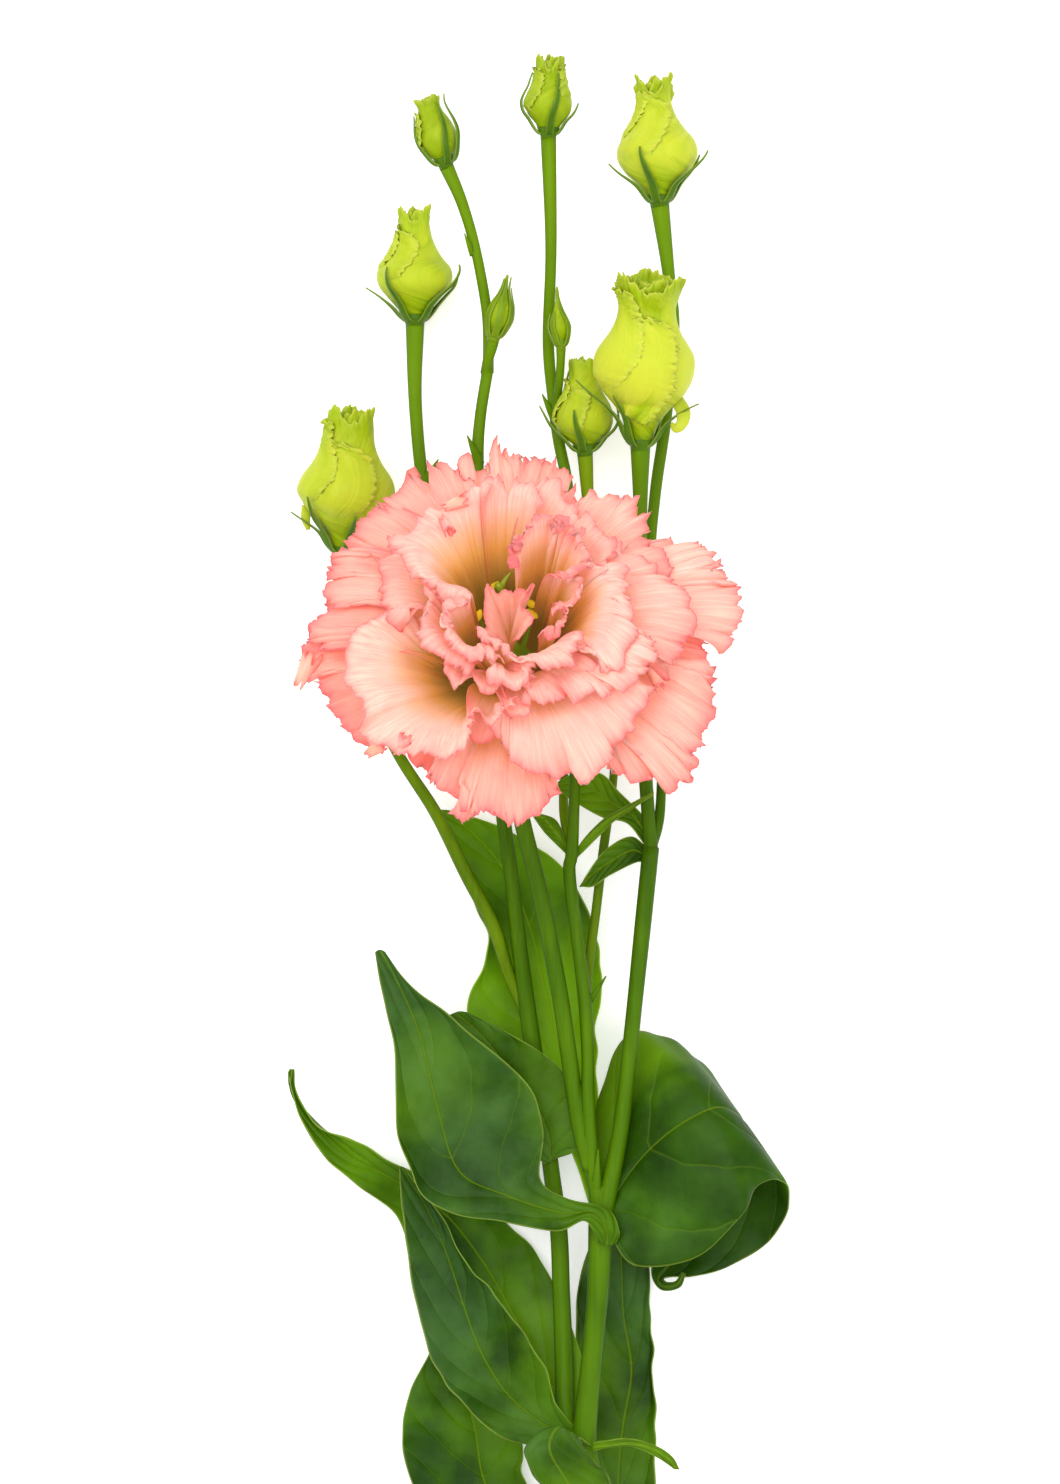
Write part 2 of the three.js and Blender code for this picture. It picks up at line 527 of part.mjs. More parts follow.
// A thin closed blade about a grid of points: both faces are split the same way.
function blade(grid, thick, floor = -Infinity) {
  const rows = grid.length;
  const columns = grid[0].length;
  const at = (i, j) => grid[Math.min(rows - 1, Math.max(0, i))][Math.min(columns - 1, Math.max(0, j))];
  const upper = [];
  const lower = [];
  for (let i = 0; i < rows; i++) {
    for (let j = 0; j < columns; j++) {
      const lengthwise = at(i + 1, j).clone().sub(at(i - 1, j));
      const normal = at(i, j + 1).clone().sub(at(i, j - 1)).cross(lengthwise).normalize();
      const point = at(i, j).clone();
      if (point.z < floor + thick / 2) {
        point.z = floor + thick / 2; // pressed flat on the surface
        normal.set(0, 0, Math.sign(normal.z) || 1);
      }
      upper.push(point.clone().addScaledVector(normal, thick / 2));
      lower.push(point.clone().addScaledVector(normal, -thick / 2));
    }
  }
  const under = upper.length;
  const id = (i, j) => i * columns + j;
  const triangles = [];
  for (let i = 0; i + 1 < rows; i++) {
    for (let j = 0; j + 1 < columns; j++) {
      const [a, b, c, d] = [id(i, j), id(i, j + 1), id(i + 1, j + 1), id(i + 1, j)];
      triangles.push(a, b, c, a, c, d);
      triangles.push(under + a, under + c, under + b, under + a, under + d, under + c);
    }
  }
  const edge = [];
  for (let j = 0; j < columns - 1; j++) edge.push(id(0, j));
  for (let i = 0; i < rows - 1; i++) edge.push(id(i, columns - 1));
  for (let j = columns - 1; j > 0; j--) edge.push(id(rows - 1, j));
  for (let i = rows - 1; i > 0; i--) edge.push(id(i, 0));
  edge.forEach((a, k) => {
    const b = edge[(k + 1) % edge.length];
    triangles.push(a, under + b, b, a, under + a, under + b);
  });
  return geometryFrom([...upper, ...lower], triangles);
}

function addMesh(group, name, geometry, look) {
  const material = new THREE.MeshStandardMaterial({
    color: look.colour,
    roughness: look.roughness,
    metalness: 0,
  });
  const mesh = new THREE.Mesh(geometry, material);
  mesh.name = name;
  group.add(mesh);
}

// ---------------------------------------------------------------- stem

// A narrow pointed scale leaf that stands on the stem.
function scaleLeaf([foot, tip, halfWidth], extra) {
  const middle = vec(foot).lerp(vec(tip), 0.45).add(new THREE.Vector3(0, 0, 0.5));
  const rows = [
    [...foot, halfWidth],
    [...middle.toArray(), halfWidth * 0.75],
    [...tip, 0.3],
  ];
  return stalk(rows, { sides: 5, step: 4, extra });
}

// All branches and scale leaves as one body, each thickened by the same amount.
function stemSolid(extra = 0) {
  const branches = Object.values(BRANCHES).map((rows) => stalk(rows, { extra }));
  return fuse([...branches, ...SCALES.map((scale) => scaleLeaf(scale, extra))]);
}

// ---------------------------------------------------------------- leaves

// A point across a leaf: a parabola through its left edge (u = -1), midrib and right edge (u = 1).
function leafPoint(rails, t, u) {
  const [left, rib, right] = rails.map((rail) => rail.getPoint(t));
  return left
    .multiplyScalar((u * u - u) / 2)
    .addScaledVector(rib, 1 - u * u)
    .addScaledVector(right, (u * u + u) / 2);
}

function leafSolid(name, stations, keepOut) {
  const small = SMALL_LEAVES.includes(name);
  const columns = small ? SMALL_COLUMNS : LEAF_COLUMNS[name] ?? BLADE_COLUMNS;
  const rows = Math.round((stations.length - 1) * (small ? 1 : ROWS_PER_STATION));
  const rails = [0, 1, 2].map((k) => curveThrough(stations.map((station) => station[k])));
  const grid = Array.from({ length: rows + 1 }, (_, i) =>
    Array.from({ length: columns + 1 }, (_, j) => leafPoint(rails, i / rows, (2 * j) / columns - 1)),
  );
  const whole = solidFrom(blade(grid, small ? SMALL_LEAF_THICK : LEAF_THICK, 0));
  return mainBody(whole.subtract(keepOut));
}

// ---------------------------------------------------------------- buds

// The radius of a bud's petals at height v, before they are wrapped over each other.
function swell(bud, v) {
  const radii = BUD_SWELL.map((s, k) => (k < BUD_WIDEST ? bud.wide * s : mix(bud.mouth, bud.wide, s)));
  const k = Math.max(1, Math.min(radii.length - 1, BUD_HEIGHTS.findIndex((h) => h >= v)));
  const f = (v - BUD_HEIGHTS[k - 1]) / (BUD_HEIGHTS[k] - BUD_HEIGHTS[k - 1]);
  return mix(radii[k - 1], radii[k], f);
}

// The same, stepped where the free edge of each furled petal winds up the bud.
function furledRadius(bud, v, bearing) {
  const turn = (bearing / (2 * Math.PI)) * FURLED_PETALS - FURL_TWIST * v;
  const under = 1 - (turn - Math.floor(turn));
  return swell(bud, v) * (1 - FURL_STEP * under * Math.sin(Math.PI * Math.min(1, v + 0.1)));
}

// The furled petals as one body, with a frilled mouth.
function furledGeometry(bud, height) {
  const ring = (v, shrink, lift) =>
    Array.from({ length: BUD_SIDES }, (_, k) => {
      const a = (k / BUD_SIDES) * 2 * Math.PI;
      const frill = v === 1 ? 0.05 * height * Math.cos(k * 2.4) : 0;
      const radius = furledRadius(bud, v, a) * shrink;
      const z = mix(BUD_FOOT, height, v) + frill + lift;
      return new THREE.Vector3(radius * Math.cos(a), radius * Math.sin(a), z);
    });
  const rings = BUD_HEIGHTS.map((v) => ring(v, 1, 0));
  rings.push(ring(1, 0.55, -0.04 * height));
  return closeRings(rings, new THREE.Vector3(0, 0, BUD_FOOT), new THREE.Vector3(0, 0, height * 0.84));
}

// One sepal: a keeled strip that hugs the bud and then stands off it.
function sepalGeometry(bud, height, bearing, reach) {
  const outward = new THREE.Vector3(Math.cos(bearing), Math.sin(bearing), 0);
  const sideways = new THREE.Vector3(-Math.sin(bearing), Math.cos(bearing), 0);
  const up = new THREE.Vector3(0, 0, 1);
  const heights = [...BUD_HEIGHTS.filter((v) => v > 0 && v < reach - 0.06), reach];
  const collar = swell(bud, 0) + 0.1;
  const line = [
    [collar - 0.8, BUD_FOOT * 0.4, 0.7],
    [collar, BUD_FOOT - 0.5, 0.75],
    ...heights.map((v) => {
      const t = v / reach;
      const radius = swell(bud, v) + SEAT_GAP + 0.12 + bud.flare * t * t * t;
      return [radius, mix(BUD_FOOT, height, v), mix(bud.sepalWidth, 0.2, t * t)];
    }),
  ];
  const rings = line.map(([radius, z, half], i) => {
    const thick = mix(0.75, 0.3, i / line.length);
    const inner = outward.clone().multiplyScalar(radius).addScaledVector(up, z);
    return [
      inner.clone().addScaledVector(sideways, -half),
      inner.clone().addScaledVector(outward, thick),
      inner.clone().addScaledVector(sideways, half),
    ];
  });
  const middle = (ring) => ring.reduce((sum, p) => sum.add(p), new THREE.Vector3()).multiplyScalar(1 / 3);
  return closeRings(rings, middle(rings[0]), middle(rings[rings.length - 1]));
}

// The green cup that the sepals grow from.
function cupGeometry(bud) {
  const profile = [
    [0, SEAT_GAP],
    [bud.stem, SEAT_GAP],
    [swell(bud, 0) + 0.3, BUD_FOOT - SEAT_GAP],
    [0, BUD_FOOT - SEAT_GAP],
  ];
  return turned(profile, 10);
}

// A group on the end of the branch named after a bud, whose +Z points to the bud's top.
function groupOn(name, shape) {
  const rows = BRANCHES[`to_${name}`];
  const end = rows[rows.length - 1];
  const foot = vec(end);
  const axis = vec(shape.top).sub(foot);
  const group = new THREE.Group();
  group.position.copy(foot);
  group.quaternion.setFromUnitVectors(new THREE.Vector3(0, 0, 1), axis.clone().normalize());
  return { group, height: axis.length(), stem: end[3] };
}

function budGroup(name, shape) {
  const { group, height, stem } = groupOn(name, shape);
  const bud = { ...shape, stem, sepalWidth: 0.7 + 0.06 * shape.wide };
  addMesh(group, `${name}_petals`, furledGeometry(bud, height), BUD_GREEN);
  const sepals = Array.from({ length: SEPALS }, (_, k) => {
    const bearing = ((k + shape.turn) / SEPALS) * 2 * Math.PI;
    return sepalGeometry(bud, height, bearing, shape.sepal * (1 - 0.07 * (k % 3)));
  });
  addMesh(group, `${name}_calyx`, geometryOf(fuse([cupGeometry(bud), ...sepals])), GREEN);
  return group;
}

// A bud that is still closed: green sepals folded over it, with thin tips.
function closedBudGroup(name, shape) {
  const { group, height, stem } = groupOn(name, shape);
  const profile = [
    [0, SEAT_GAP],
    [stem, SEAT_GAP],
    [shape.wide * 0.8, height * 0.14],
    [shape.wide, height * 0.3],
    [shape.wide * 0.75, height * 0.5],
    [shape.wide * 0.35, height * 0.68],
    [0, height * 0.76],
  ];
  const tips = [0, 1, 2, 3].map((k) => {
    const a = ((k + 0.4) / 4) * 2 * Math.PI;
    const point = (r, v, thick) => [r * Math.cos(a), r * Math.sin(a), v * height, thick];
    const rows = [
      point(shape.wide * 0.85, 0.25, 0.45),
      point(shape.wide * 0.8, 0.5, 0.5),
      point(shape.wide * 0.5, 0.8, 0.4),
      point(shape.wide * 0.7, 1 - 0.06 * k, 0.2),
    ];
    return stalk(rows, { sides: 3, step: 5 });
  });
  addMesh(group, name, geometryOf(fuse([turned(profile, 8), ...tips])), GREEN);
  return group;
}

// ---------------------------------------------------------------- flower

// A petal's line from foot to edge, as (distance from the axis, height).
function petalLine(petal, t) {
  const { foot, reach, shoulder, edge } = petal;
  const s = 1 - t;
  const blend = (a, b, c, d) => s * s * s * a + 3 * s * s * t * b + 3 * s * t * t * c + t * t * t * d;
  return [
    blend(foot, mix(foot, reach, 0.06), mix(foot, reach, 0.42), reach),
    blend(0, shoulder * 0.55, shoulder * 1.08, edge),
  ];
}

// A point of a petal: v runs from foot to edge, u from -1 to 1 across.
function petalPoint(petal, u, v) {
  const shape = mix(0.2, 1, smooth(v / 0.78)) * (1 - 0.22 * smooth((v - 0.78) / 0.22));
  const along = v * (1 - 0.17 * Math.abs(u) ** 2.6);
  const [r, w] = petalLine(petal, along);
  const [r0, w0] = petalLine(petal, Math.max(0, along - 0.01));
  const [r1, w1] = petalLine(petal, Math.min(1, along + 0.01));
  const slope = Math.hypot(r1 - r0, w1 - w0);
  const outR = (w1 - w0) / slope;
  const outW = -(r1 - r0) / slope;
  const bend = Math.max(Math.abs(r) * 1.3, 5);
  const angle = (petal.width * shape * u) / bend;
  const rim = Math.max(v, 0.85 * Math.abs(u) * smooth(v / 0.5)) ** 4;
  const phase = (petal.bearing * Math.PI) / 31;
  const ripple = 0.8 * Math.sin(7.9 * u + phase);
  const out = petal.wave * rim * ripple + PETAL_LAP * u * smooth(v * 2);
  const side = bend * Math.sin(angle) + out * outR * Math.sin(angle);
  const radial = r - bend * (1 - Math.cos(angle)) + out * outR * Math.cos(angle);
  const bearing = (petal.bearing * Math.PI) / 180;
  return new THREE.Vector3(
    radial * Math.cos(bearing) - side * Math.sin(bearing),
    radial * Math.sin(bearing) + side * Math.cos(bearing),
    w + out * outW,
  );
}

function petalGeometry(petal, thick) {
  const [columns, heights] = petal.reach > 26 ? LARGE_PETAL_GRID : SMALL_PETAL_GRID;
  const grid = heights.map((v) =>
    Array.from({ length: columns + 1 }, (_, j) => {
      const u = (2 * j) / columns - 1;
      const tooth = v === 1 ? EDGE_TOOTH * (j % 2 ? 1 : -1) : 0;
      return petalPoint(petal, u, v + tooth);
    }),
  );
  return blade(grid, thick);
}

// The swollen middle that the petals, the pistil and the stamens stand on.
const discGeometry = () =>
  turned(
    [
      [0, DISC_FOOT],
      [4, DISC_FOOT],
      [6, 0.2],
      [5.4, DISC_TOP],
      [0, DISC_TOP],
    ],
    14,
  );

// The disc and all petals as one body, each petal with the given thickness.
const petalsSolid = (thick) =>
  fuse([discGeometry(), ...PETALS.map((petal) => petalGeometry(petal, thick))]);

// A point at a bearing (in turns) and radius about the flower's axis, with a thickness.
const around = (turn, r, z, thick) => {
  const a = turn * 2 * Math.PI;
  return [r * Math.cos(a), r * Math.sin(a), z, thick];
};

// The green ovary and style, with a two-lobed stigma.
function pistilSolid() {
  const foot = DISC_TOP + SEAT_GAP;
  const style = turned(
    [
      [0, foot],
      [1.6, foot],
      [1.9, 5],
      [1.5, 9],
      [0.6, 11.5],
      [0.55, 17],
      [0, 17.2],
    ],
    8,
  );
  const lobes = [0.1, 0.6].map((turn) => {
    const rows = [around(turn, 0, 16.2, 0.7), around(turn, 1.1, 17.6, 1), around(turn, 2.4, 17.4, 0.6)];
    return stalk(rows, { sides: 6, step: 1.5 });
  });
  return fuse([style, ...lobes]);
}

// A thin ring round the ovary that five threads with yellow heads rise from.
function stamensSolid() {
  const foot = DISC_TOP + SEAT_GAP;
  const ring = turned(
    [
      [2.25, foot],
      [2.9, foot],
      [2.9, foot + 0.9],
      [2.25, foot + 0.9],
      [2.25, foot],
    ],
    8,
  );
  const threads = STAMEN_TURNS.flatMap((turn) => {
    const thread = [
      around(turn, 2.6, foot + 0.4, 0.32),
      around(turn, 2.75, 9, 0.32),
      around(turn, 3, 14.6, 0.32),
    ];
    const head = [around(turn, 3, 13.8, 0.4), around(turn, 3.1, 15, 0.8), around(turn, 3.2, 16.2, 0.4)];
    return [stalk(thread, { sides: 3, step: 6 }), stalk(head, { sides: 4, step: 1.2 })];
  });
  return fuse([ring, ...threads]);
}

// The green cup under the flower, with five narrow sepals that lie along the bell.
function flowerCalyxSolid() {
  const top = DISC_FOOT - SEAT_GAP;
  const cup = turned(
    [
      [0, top - 2.7],
      [2.3, top - 2.7],
      [3.6, top - 1.3],
      [4.2, top],
      [0, top],
    ],
    10,
  );
  const sepals = Array.from({ length: SEPALS }, (_, k) => {
    const turn = (k + 0.3) / SEPALS;
    const rows = [
      around(turn, 2.5, top - 1.3, 1),
      around(turn, 7.4, -0.6, 0.8),
      around(turn, 10.5, 5, 0.6),
      around(turn, 12, 12, 0.3),
    ];
    return stalk(rows, { sides: 4, step: 4 });
  });
  return fuse([cup, ...sepals]);
}

function flowerGroup() {
  const group = new THREE.Group();
  group.position.copy(vec(FLOWER_BASE));
  group.rotation.x = -FLOWER_TIP;
  const room = petalsSolid(PETAL_THICK + 2 * SEAT_GAP);
  const clear = (solid) => geometryOf(mainBody(solid.subtract(room)));
  addMesh(group, "flower_petals", geometryOf(mainBody(petalsSolid(PETAL_THICK))), SALMON);
  addMesh(group, "flower_pistil", clear(pistilSolid()), STIGMA);
  addMesh(group, "flower_stamens", clear(stamensSolid()), POLLEN);
  addMesh(group, "flower_calyx", clear(flowerCalyxSolid()), GREEN);
  return group;
}

// ---------------------------------------------------------------- the spray

const spray = new THREE.Group();
spray.position.set(-FOOTPRINT_MIDDLE[0], -FOOTPRINT_MIDDLE[1], 0);

addMesh(spray, "stem", geometryOf(mainBody(stemSolid())), GREEN);

const aroundStem = stemSolid(1.5 * SEAT_GAP);
for (const [name, stations] of Object.entries(LEAVES)) {
  addMesh(spray, name, geometryOf(leafSolid(name, stations, aroundStem)), LEAF_GREEN);
}
for (const [name, shape] of Object.entries(BUDS)) spray.add(budGroup(name, shape));
for (const [name, shape] of Object.entries(CLOSED_BUDS)) spray.add(closedBudGroup(name, shape));
spray.add(flowerGroup());

const part = new THREE.Group();
part.add(spray);
export default part;
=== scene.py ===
# %% [markdown]
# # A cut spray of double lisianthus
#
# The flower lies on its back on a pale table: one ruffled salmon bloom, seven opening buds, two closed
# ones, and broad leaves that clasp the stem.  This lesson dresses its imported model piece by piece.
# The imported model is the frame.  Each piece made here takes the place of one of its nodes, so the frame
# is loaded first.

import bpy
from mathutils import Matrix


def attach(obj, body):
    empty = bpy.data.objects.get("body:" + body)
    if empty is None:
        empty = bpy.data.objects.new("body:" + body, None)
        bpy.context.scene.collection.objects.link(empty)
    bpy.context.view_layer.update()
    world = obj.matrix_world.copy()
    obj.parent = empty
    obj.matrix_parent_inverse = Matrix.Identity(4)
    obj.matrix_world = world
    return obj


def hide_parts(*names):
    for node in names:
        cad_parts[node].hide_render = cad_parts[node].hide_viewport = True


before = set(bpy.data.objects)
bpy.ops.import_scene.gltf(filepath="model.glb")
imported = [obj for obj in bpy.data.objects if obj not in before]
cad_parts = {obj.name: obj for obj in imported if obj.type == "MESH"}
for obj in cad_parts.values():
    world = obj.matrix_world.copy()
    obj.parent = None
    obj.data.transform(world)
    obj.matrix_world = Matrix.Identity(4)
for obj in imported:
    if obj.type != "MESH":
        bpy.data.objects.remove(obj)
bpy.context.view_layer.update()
print("nodes in the frame:", len(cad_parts))

# %% [markdown]
# ## Units and small helpers
#
# A spray is measured in millimetres, as a botanist would, and Blender works in metres.  Every table
# below is in millimetres about a point on the spray's middle line, so one helper moves points to the
# part's own origin and turns them into metres.  Points are kept in arrays, because a leaf or a petal
# is a grid of thousands of them, and an array moves them all in one expression.

# %% Points and easing
import math
from collections import namedtuple

import bpy
import numpy as np

MM = 0.001
FOOTPRINT_MIDDLE = np.array([1.5, -35, 0])  # the part's origin in the growth tables, in mm


def placed(points):
    """Points of the growth tables, in mm, as places in the part, in metres."""
    return (np.asarray(points, float) - FOOTPRINT_MIDDLE) * MM


def mix(a, b, share):
    return a + (b - a) * share


def smooth(share):
    """0 below 0, 1 above 1, and an easy rise between."""
    c = np.clip(share, 0, 1)
    return c * c * (3 - 2 * c)


def unit(vectors):
    """Vectors made one long."""
    length = np.linalg.norm(vectors, axis=-1, keepdims=True)
    return vectors / np.maximum(length, 1e-9)


print("origin of the part in the growth tables:", FOOTPRINT_MIDDLE[:2], "mm")

# %% [markdown]
# ## The camera
#
# The picture looks straight down on the spray from far away, through a long lens, so that near and
# far pieces keep nearly the same scale.  The camera stands two metres above the flower, and the lens
# is worked out from how much of the spray the picture shows.

# %% Camera above the spray
PICTURE_TALL = 1484  # pixels of the picture from top to bottom
MM_PER_PIXEL = 0.19
PICTURE_MIDDLE = [0, 0, 20]  # in mm, at about the height of the stems
CAMERA_DISTANCE = 2.0
CAMERA_NEAR, CAMERA_FAR = 0.05, 20  # it sees between these distances
SENSOR_MM = 36

camera_data = bpy.data.cameras.new("camera")
camera_data.sensor_width = SENSOR_MM
camera_data.lens = SENSOR_MM * CAMERA_DISTANCE / (PICTURE_TALL * MM_PER_PIXEL * MM)
camera_data.clip_start = CAMERA_NEAR
camera_data.clip_end = CAMERA_FAR
camera = bpy.data.objects.new("camera", camera_data)
camera.location = placed(PICTURE_MIDDLE) + [0, 0, CAMERA_DISTANCE]
bpy.context.scene.collection.objects.link(camera)
bpy.context.scene.camera = camera
print("lens:", round(camera_data.lens, 1), "mm")

# %% [markdown]
# ## Table and light
#
# Flowers for a catalogue are lit with big soft lamps, so that petals glow and shadows stay pale.  A
# single small lamp would draw hard shadows in every frill.  Here one broad lamp stands above the head
# of the spray, a second, weaker one fills from the side, and a white sky lights what neither reaches.

# %% Pale table
TABLE_SIZE = 3.0
TABLE_DROP = 0.0002  # the table lies this far under the spray


def new_object(name, mesh):
    made = bpy.data.objects.new(name, mesh)
    bpy.context.scene.collection.objects.link(made)
    return made


def flat_square(name, size, height):
    """One flat face, size wide, at a height."""
    half = size / 2
    corners = [(-half, -half, height), (half, -half, height), (half, half, height), (-half, half, height)]
    mesh = bpy.data.meshes.new(name)
    mesh.from_pydata(corners, [], [(0, 1, 2, 3)])
    return new_object(name, mesh)


table = flat_square("table", TABLE_SIZE, -TABLE_DROP)
print("table:", TABLE_SIZE, "m wide")

# %% Soft lamps and sky
LAMPS = [
    # name, place, size, power
    ("lamp_above", (-0.35, 0.45, 1.6), 1.6, 26),
    ("lamp_side", (0.9, -0.5, 1.2), 1.0, 7),
]
SKY_LIGHT = 0.62

for name, place, size, power in LAMPS:
    lamp_data = bpy.data.lights.new(name, "AREA")
    lamp_data.size = size
    lamp_data.energy = power
    lamp = bpy.data.objects.new(name, lamp_data)
    lamp.location = place
    aim = -lamp.location
    lamp.rotation_euler = aim.to_track_quat("-Z", "Y").to_euler()
    bpy.context.scene.collection.objects.link(lamp)

world = bpy.data.worlds.new("studio")
world.use_nodes = True
world.node_tree.nodes["Background"].inputs["Color"].default_value = (1, 1, 1, 1)
world.node_tree.nodes["Background"].inputs["Strength"].default_value = SKY_LIGHT
bpy.context.scene.world = world
bpy.context.scene.view_settings.view_transform = "Standard"
print("lamps:", len(LAMPS), "and a white sky")

# %% [markdown]
# ## Writing a finish as sums
#
# A material's pattern is arithmetic on sockets: veins times a colour, plus a blush near the edge.
# Wiring each sum by hand hides the thought behind it.  This small class wraps a socket, so that
# `1 - veins * 0.3` in Python adds the Math nodes itself.  Colours go through Mix nodes, because a Math
# node would turn them grey, and every other node comes from one method, `add`.

# %% A socket that can be reckoned with
class Wire:
    """A socket of a material, with + - * / and ** between it and another, or a number."""

    def __init__(self, finish, socket):
        self.finish = finish
        self.socket = socket

    def reckon(self, operation, first, second=0.0):
        node = self.finish.tree.nodes.new("ShaderNodeMath")
        node.operation = operation
        for place, value in enumerate((first, second)):
            self.finish.plug(node.inputs[place], value)
        return Wire(self.finish, node.outputs[0])

    def __add__(self, other):
        return self.reckon("ADD", self, other)

    def __sub__(self, other):
        return self.reckon("SUBTRACT", self, other)

    def __rsub__(self, other):
        return self.reckon("SUBTRACT", other, self)

    def __mul__(self, other):
        return self.reckon("MULTIPLY", self, other)

    def __truediv__(self, other):
        return self.reckon("DIVIDE", self, other)

    def __rtruediv__(self, other):
        return self.reckon("DIVIDE", other, self)

    def __pow__(self, other):
        return self.reckon("POWER", self, other)

    def __rpow__(self, other):
        return self.reckon("POWER", other, self)

    __radd__ = __add__
    __rmul__ = __mul__

    def size(self):
        return self.reckon("ABSOLUTE", self)

    def sine(self):
        return self.reckon("SINE", self)

    def clamped(self):
        """The value held between 0 and 1."""
        return self.reckon("MINIMUM", self.reckon("MAXIMUM", self, 0.0), 1.0)

    def fading(self, rate):
        """1 where the value is 0, and less and less beyond: the rate says how fast."""
        return 2.718 ** (self * -rate)


print("sums on a socket:", "+ - * / **")

# %% A finish holds one material
def set_stops(ramp, stops):
    """Fills a colour ramp from rows of (place, colour)."""
    while len(ramp.elements) < len(stops):
        ramp.elements.new(0.5)
    for element, (place, shade) in zip(ramp.elements, stops):
        element.position = place
        element.color = shade


class Finish:
    """One material: its nodes, and a Principled shader that the pattern feeds."""

    def __init__(self, name):
        self.material = bpy.data.materials.new(name)
        self.material.use_nodes = True
        self.tree = self.material.node_tree
        self.shader = self.tree.nodes["Principled BSDF"]

    def plug(self, socket, value):
        if isinstance(value, Wire):
            self.tree.links.new(value.socket, socket)
        else:
            socket.default_value = value

    def add(self, kind, settings, sockets, output=0):
        """Any node: its type, its settings, then the values or links of its sockets."""
        node = self.tree.nodes.new(kind)
        for key, value in settings.items():
            if key == "stops":
                set_stops(node.color_ramp, value)
            else:
                setattr(node, key, value)
        for key, value in sockets.items():
            self.plug(node.inputs[key], value)
        return Wire(self, node.outputs[output])

    def mark(self, name):
        """A number that the mesh carries at each of its points."""
        return self.add("ShaderNodeAttribute", {"attribute_name": name}, {}, output="Fac")

    def blend(self, first, second, share):
        """Two colours through a Mix node."""
        settings = {"data_type": "RGBA", "blend_type": "MIX", "clamp_factor": True}
        node = self.add("ShaderNodeMix", settings, {"Factor": share}).socket.node
        self.plug(node.inputs[6], first)
        self.plug(node.inputs[7], second)
        return Wire(self, node.outputs[2])

    def cloud(self, place, scale, detail=2.0):
        """Soft noise between 0 and 1 at a place."""
        sockets = {"Vector": place, "Scale": scale, "Detail": detail}
        return self.add("ShaderNodeTexNoise", {"noise_dimensions": "3D"}, sockets)

    def spot(self, x, y, z):
        """Three numbers as one place."""
        return self.add("ShaderNodeCombineXYZ", {}, {"X": x, "Y": y, "Z": z})

    def place(self):
        """Where the surface is in the part, in metres."""
        return self.add("ShaderNodeTexCoord", {}, {}, output="Object")

    def bump(self, height, distance, strength=1.0):
        sockets = {"Height": height, "Distance": distance, "Strength": strength}
        self.plug(self.shader.inputs["Normal"], self.add("ShaderNodeBump", {}, sockets))

    def set(self, **looks):
        """Sockets of the shader, by name with _ for a space."""
        for name, value in looks.items():
            self.plug(self.shader.inputs[name.replace("_", " ")], value)


def colour(red, green, blue):
    """A colour as a screen shows it, 0 to 255, turned into light."""
    share = np.array([red, green, blue]) / 255
    light = np.where(share > 0.04045, ((share + 0.055) / 1.055) ** 2.4, share / 12.92)
    return (*light.tolist(), 1.0)


print("white as light:", colour(255, 255, 255))

# %% A lit sheet under the spray
TABLE_WHITE = colour(236, 236, 234)
TABLE_GLOW = 0.42  # the sheet is lit a little from below, so that shadows on it stay pale

paper = Finish("table_paper")
paper.set(Base_Color=TABLE_WHITE, Roughness=0.9, Specular_IOR_Level=0.1)
paper.set(Emission_Color=(1, 1, 1, 1), Emission_Strength=TABLE_GLOW)
table.data.materials.append(paper.material)
print("table finish:", paper.material.name)

# %% [markdown]
# ## Thin living sheets
#
# Petals, leaves and sepals are all thin sheets with two faces and a fine edge.  A plane with a
# Solidify modifier would do, but its edge stays as thick as its middle.  Here a sheet is a grid of
# points, and each face stands off it by half a thickness that fades towards the rim.  The grid also
# hands numbers to its finish: how far along, how far across, and how near the rim each point is.

# %% From a grid of points to a closed sheet
def loop_round(rows, columns):
    """The outer points of a grid, in order round it."""
    index = np.arange(rows * columns).reshape(rows, columns)
    return np.concatenate([index[0, :-1], index[:-1, -1], index[-1, :0:-1], index[:0:-1, 0]])


def grid_faces(rows, columns):
    """The four-cornered faces between the points of a grid."""
    a = (np.arange(rows - 1)[:, None] * columns + np.arange(columns - 1)).ravel()
    return np.stack([a, a + 1, a + 1 + columns, a + columns], axis=1)


def facing(grid):
    """The direction that a grid's surface faces at each point."""
    across = np.gradient(grid, axis=1)
    along = np.gradient(grid, axis=0)
    return unit(np.cross(across, along))


def mesh_object(name, points, faces, marks=None):
    """An object from points in mm, faces, and numbers for its finish at each point."""
    mesh = bpy.data.meshes.new(name)
    mesh.from_pydata(placed(points).tolist(), [], [list(face) for face in faces])
    for mark, values in (marks or {}).items():
        layer = mesh.attributes.new(mark, "FLOAT", "POINT")
        layer.data.foreach_set("value", np.asarray(values, np.float32).ravel())
    mesh.shade_smooth()
    return new_object(name, mesh)


def sheet(grid, thick, marks):
    """A closed sheet about a grid of points: its points, faces and marks."""
    rows, columns = grid.shape[:2]
    offset = facing(grid) * (np.broadcast_to(thick, (rows, columns)) / 2)[..., None]
    points = np.concatenate([(grid + offset).reshape(-1, 3), (grid - offset).reshape(-1, 3)])
    upper = grid_faces(rows, columns)
    under = rows * columns
    edge = loop_round(rows, columns)
    after = np.roll(edge, -1)
    rim = np.stack([edge, edge + under, after + under, after], axis=1)
    faces = np.concatenate([upper, upper[:, ::-1] + under, rim])
    both = {mark: np.tile(np.broadcast_to(m, (rows, columns)).ravel(), 2) for mark, m in marks.items()}
    return points, faces.tolist(), both


